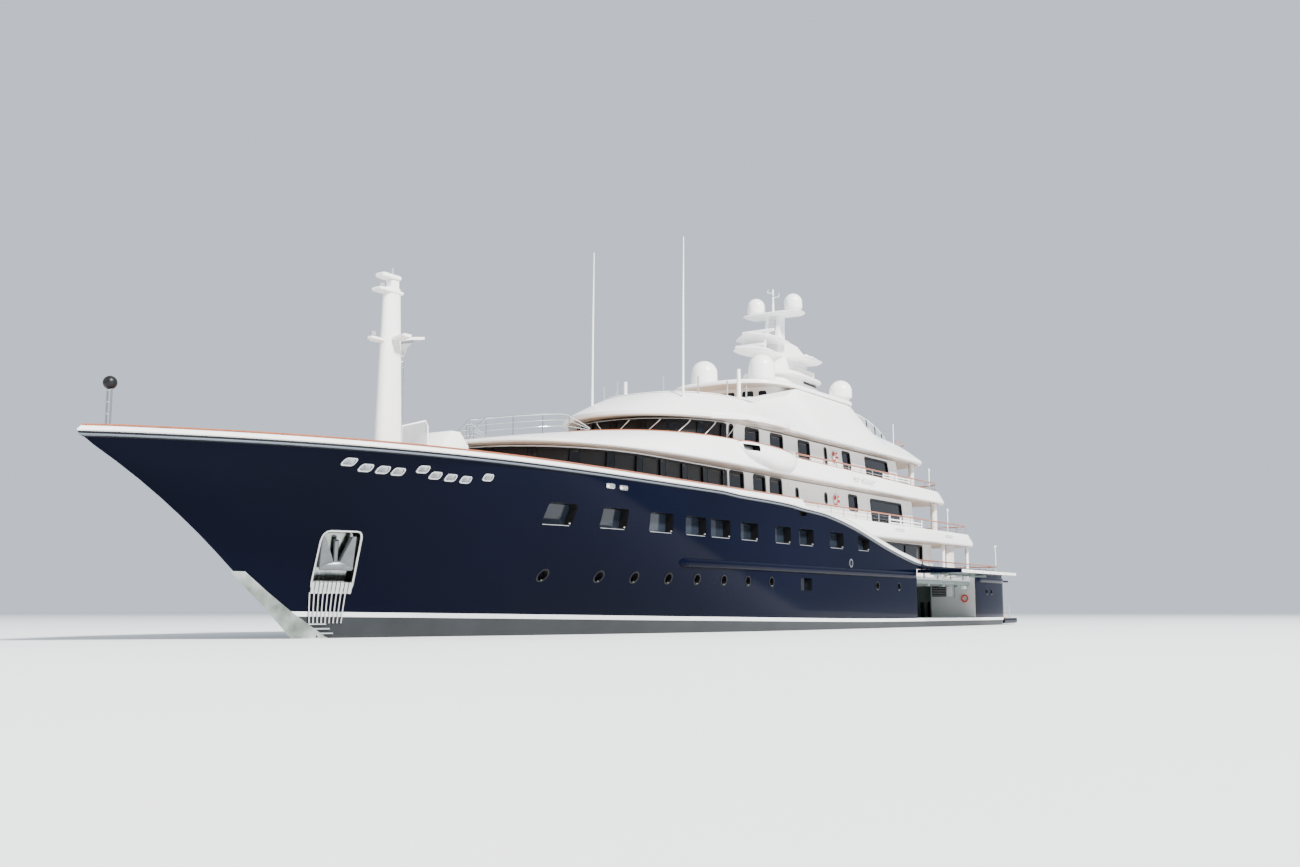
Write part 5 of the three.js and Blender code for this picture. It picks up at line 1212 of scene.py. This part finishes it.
def make_foredeck_gear():
    z = FOREDECK_Z + SEAT
    locker = Shape().extruded([(25.2, z), (25.2, 8.6), (24.5, 9.4), (23.9, 9.4), (23.3, 8.8), (23.3, z)], (-0.9, 0.9))
    locker.extruded([(26.85, z), (26.85, 9.4), (25.3, 9.8), (25.2, z)], (-0.04, 0.04), "grey")
    locker.tube([(26.85, 0, z), (26.85, 0, 9.4), (25.3, 0, 9.82), (25.15, 0, 9.6), (25.15, 0, z)], 0.05)
    fine("foredeck_locker", locker, bevel=0.03)
    fittings = Shape()
    for x, y in ((36, 0.9), (33.5, 2.4), (28.6, 3.6)):
        for dx in (-0.3, 0.3):
            fittings.turned([(0.02, 0), (0.22, 0.0), (0.14, 0.1), (0.13, 0.45), (0.19, 0.52), (0.02, 0.56)],
                            (x + dx, y, z), "steel", 16)
        fittings.block(x - 0.6, x + 0.6, y - 0.25, y + 0.25, z - 0.002, z + 0.05, "steel", 0.02)
    fittings.turned([(0.02, 0), (0.3, 0), (0.2, 0.35), (0.24, 0.7), (0.32, 0.78), (0.02, 0.84)], (27.5, 1.9, z),
                    "steel", 20)
    fittings.block(23.9, 25.2, 1.6, 3.2, z - 0.002, z + 0.9, "white", 0.1).mirrored()
    fittings.block(36.4, 38.4, -0.7, 0.7, z - 0.002, z + 0.22, "white", 0.06)
    make("foredeck_fittings", fittings, slot="steel_polished")
    gear = Shape().block(29.6, 31.6, 1.0, 2.4, z, z + 0.3, "white", 0.05)
    gear.turned([(0.02, -0.6), (0.42, -0.6), (0.44, -0.5), (0.3, -0.42), (0.28, 0), (0.3, 0.42), (0.44, 0.5),
                 (0.42, 0.6), (0.02, 0.6)], (30.6, 1.7, z + 0.7), "galvanised", 24, axis="y")
    gear.turned([(0.02, 0), (0.38, 0), (0.26, 0.35), (0.25, 0.6), (0.3, 0.8), (0.42, 0.88), (0.4, 0.95),
                 (0.02, 1.0)], (29.95, 1.7, z + 0.25), "steel", 24)
    whip = [(x, 3.15, z) for x, z in ((7.7, 12.75), (7.7, 13.3), (7.69, 14.5), (7.66, 18.5), (7.6, 22.4))]
    pair(("windlass", gear, {"slot": "steel_polished"}),
         ("whip", Shape().tube(whip, [0.09, 0.075, 0.06, 0.05, 0.025]), {}))
    staff = Shape()
    x = 41.72
    staff.tubes([[(x, y, z), (x, y, 9.0)] for y in (-0.12, 0.12)], 0.04, "steel", 10)
    staff.tubes([[(x, -0.13, h), (x, 0.13, h)] for h in (7.6, 8.13, 8.56, 8.99)], 0.03, "steel")
    staff.turned([(0.25 * sin(pi * i / 16), -0.25 * cos(pi * i / 16)) for i in range(17)], (x, 0, 9.24), "black")
    fine("jackstaff", staff, slot="black_paint")
    ensign = Shape().tube([(-29, 0, 6.93), (-29.7, 0, 8.2), (-30.4, 0, 9.4)], [0.06, 0.05, 0.035], "white", 10)
    ensign.turned([(0.02, 0), (0.07, 0.03), (0.07, 0.09), (0.02, 0.13)], (-30.4, 0, 9.35), "varnish", 12)
    fine("ensign_staff", ensign)


# Rails

def round_path(fore, side, aft, corner):
    """Path that runs aft on the port side, round the stern and forward on the starboard side."""
    count = round((fore - aft - corner) / 0.9)
    port = [(fore + (aft + corner - fore) * i / count, side) for i in range(count)]
    port += [(aft + corner * (1 - sin(a)), side - corner * (1 - cos(a))) for a in quarter(10)]
    return port + [(x, -y) for x, y in reversed(port)]


def guard_rail(name, plan, top, base_of, spacing, bars, slats=None):
    """Handrail on posts with thin bars, and white slats on both sides: fore, aft, low, high and their heights."""
    shape = Shape()
    path = round_path(*plan)
    line = [(x, y, top - 0.05) for x, y in path]
    shape.tube(line, 0.062, "varnish", 10, flat=0.8)
    shape.tubes([[(x, y, base_of(x) + (top - base_of(x)) * share) for x, y in path] for share in bars], 0.014,
                "steel", 6)
    shape.tubes([[(x, y, base_of(x) - 0.02), (x, y, top - 0.05)] for x, y, _ in resample(line, spacing)], 0.026,
                "steel")
    if slats:
        fore, aft, low, high, heights = slats
        y = plan[1]
        posts = np.linspace(aft, fore, round((fore - aft) / 1.9) + 1)
        panels = Shape().blocks([(x - 0.05, x + 0.05, y - 0.04, y + 0.04, low, high) for x in posts], "white", 0.01)
        panels.blocks([(aft, fore, y - 0.015, y + 0.015, z - 0.045, z + 0.045) for z in heights], "white", 0.01)
        shape.join(panels.mirrored())
    make(f"{name}_fine", shape, both(name), slot="varnished_wood")


def make_roof_rail(deck):
    """Low rail on the sloping front of the bridge deck, whose surface it follows."""
    mesh = deck.data
    surface = BVHTree.FromPolygons([v.co for v in mesh.vertices], [f.vertices for f in mesh.polygons])

    def height(x, y, share):
        floor = surface.ray_cast(Vector((x * S, y * S, 2)), Vector((0, 0, -1)))[0].z / S
        return floor + (0.95 - 0.8 * clamp01((18.6 - x) / 1.7)) * share
    rail = Shape()
    turns = [pi * (i / 32 - 0.5) for i in range(33)]
    path = [(16.9 + 4.1 * cos(a), 3.3 * sin(a)) for a in turns]
    for share, radius in ((1, 0.03), (0.68, 0.016), (0.36, 0.016)):
        rail.tube([(x, y, height(x, y, share)) for x, y in path], radius, "steel")
    rail.tubes([[(x, y, height(x, y, 0) - 0.03), (x, y, height(x, y, 1))] for x, y in resample(path, 1.4)], 0.026,
               "steel")
    # Steps from the foredeck
    rail.tubes([[(23.3, y, 8.3), (22.6, y, 9.6), (21.6, y, 10.4), (20.9, y, 10.5)] for y in (-0.5, 0.5)], 0.03,
               "steel")
    rail.tubes([[(23.2 - 0.26 * k, y, 8.5 + 0.32 * k) for y in (-0.5, 0.5)] for k in range(6)], 0.022, "steel", 6)
    make("forward_roof_rail", rail, slot="steel_polished")


def make_rails(deck):
    guard_rail("main_rail", (-15.8, 6.95, -35, 1.2), MAIN_Z + 1.15, lambda x: min(sheer(x), 4.6), 1.7, (0.5,))
    guard_rail("upper_rail", (1.7, 6.72, -28.8, 1.4), UPPER_Z + 1.12, lambda x: 6.9, 1.85, (0.35, 0.68),
               (-12.9, -18.6, 6.9, UPPER_Z + 0.99, (7.0, 7.22)))
    guard_rail("bridge_rail", (0, 6.3, -24.4, 1.9), BRIDGE_Z + 1.1,
               lambda x: bridge_top(x) - 0.02 if x > -24.3 else 9.8, 1.85, (0.45,),
               (-13, -17.5, 9.95, BRIDGE_Z + 0.99, (10.1, 10.28)))
    guard_rail("sun_rail", (-19.5, 4.58, -22.7, 1.9), SUN_Z + 1.1, lambda x: sun_top(x) - 0.05, 1.3, (0.5,))
    make_roof_rail(deck)
    poles = Shape()
    for x, y, low, high in ((-24.2, 5.2, 9.78, 11.5), (-28.4, 5.0, 6.9, 8.75)):
        poles.tube([(x, y, low), (x, y, high)], 0.045)
        poles.turned([(0.02, 0), (0.08, 0.01), (0.08, 0.2), (0.03, 0.24)], (x, y, high), "white", 12)
    poles.tube([(2.9, 4.05, 13.4), (2.9, 4.05, 15.3)], [0.13, 0.11], "white", 14)
    poles.tube([(-19.2, 4.5, 12.75), (-19.2, 4.5, 14.6)], 0.03)
    make("deck_poles", poles.mirrored())


# Running gear

def blade_ring(share, turn, x, y, z):
    """Section of a propeller blade at a share of its length."""
    r = 0.22 + 0.93 * share
    chord = 0.95 * (sin(pi * min(1, 0.22 + 0.78 * share)) ** 0.6) * (1 - share ** 6) + 0.02
    pitch = atan2(0.62, r)
    ring = []
    for c, s in circle(12):
        u, v = chord / 2 * c, (0.05 - 0.035 * share) * s
        a = turn + (u * cos(pitch) - v * sin(pitch)) / r + 0.22 * share ** 2
        ring.append((x + u * sin(pitch) + v * cos(pitch), y + r * cos(a), z + r * sin(a)))
    return ring


def make_running_gear():
    centre = (-29.403, 3, -2.8)
    prop = Shape().turned([(0.02, -0.5), (0.12, -0.46), (0.2, -0.36), (0.3, -0.08), (0.3, 0.38), (0.26, 0.4),
                           (0.02, 0.4)], centre, "bronze", axis="x")
    for blade in range(4):
        prop.loft([blade_ring(i / 12, blade * pi / 2, *centre) for i in range(13)], "bronze")
    pair(("propeller", prop, {"moving": True, "slot": "bronze"}))
    looks = {"rudder": "bottom", "stabiliser_fin": "bottom", "shaft": "steel", "saloon_door": "glass"}
    for name, kind in looks.items():
        for node in both(name):
            repaint(node, kind)
    repaint("stem_plate", "rippled")


def repaint(node, kind):
    """Gives a CAD node a node material, and narrow rounded edges."""
    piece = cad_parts[node]
    piece.data.materials.clear()
    piece.data.materials.append(MATERIALS[kind])
    round_edges(piece, 0.002, 50)


# Stage

def add_camera():
    data = bpy.data.cameras.new("camera")
    data.sensor_width = 36
    data.lens = data.sensor_width * CAMERA_FOCAL_PX / IMAGE_WIDTH_PX
    data.clip_end = 100
    data.clip_start = 0.05
    camera = bpy.data.objects.new("camera", data)
    camera.location = [v * S for v in CAMERA_AT]
    camera.rotation_euler = (radians(90 + CAMERA_PITCH), 0, radians(CAMERA_YAW - 90))
    bpy.context.scene.collection.objects.link(camera)
    bpy.context.scene.camera = camera


def add_light(name, location, energy, size, colour=(1, 1, 1)):
    """Area light that faces the middle of the yacht."""
    data = bpy.data.lights.new(name, "AREA")
    data.energy = energy
    data.size = size
    data.color = colour
    light = bpy.data.objects.new(name, data)
    light.location = location
    direction = Vector((0, 0, 0.8)) - Vector(location)
    light.rotation_euler = direction.to_track_quat("-Z", "Y").to_euler()
    bpy.context.scene.collection.objects.link(light)


def add_stage():
    world = bpy.data.worlds.new("studio")
    world.use_nodes = True
    background = world.node_tree.nodes["Background"]
    background.inputs["Color"].default_value = (0.8, 0.88, 1.0, 1)
    background.inputs["Strength"].default_value = 0.95
    bpy.context.scene.world = world
    mesh = bpy.data.meshes.new("floor")
    reach = 60
    corners = [(-reach, -reach, 0), (reach, -reach, 0), (reach, reach, 0), (-reach, reach, 0)]
    mesh.from_pydata(corners, [], [(0, 1, 2, 3)])
    floor = bpy.data.objects.new("floor", mesh)
    bpy.context.scene.collection.objects.link(floor)
    mesh.materials.append(paint("floor_matt", (0.74, 0.76, 0.78), 0.7, vary=0.01, scale=1))


make_materials()
add_camera()
add_stage()
add_light("sun_key", (9, 24, 24), 46000, 5, (1, 0.97, 0.93))
add_light("fill", (14, -4, 7), 400, 6)

make_hull()
make_sheer_trim()
make_side_rails()
make_hull_windows()
make_anchors()
make_shell_doors()
make_garage()
make_stern()
make_upper_deck()
bridge_deck = make_bridge_deck()
make_sun_deck()
make_houses()
make_hardtop()
make_skylight()
make_domes()
make_radar_mast()
make_foremast()
make_foredeck_gear()
make_rails(bridge_deck)
make_running_gear()
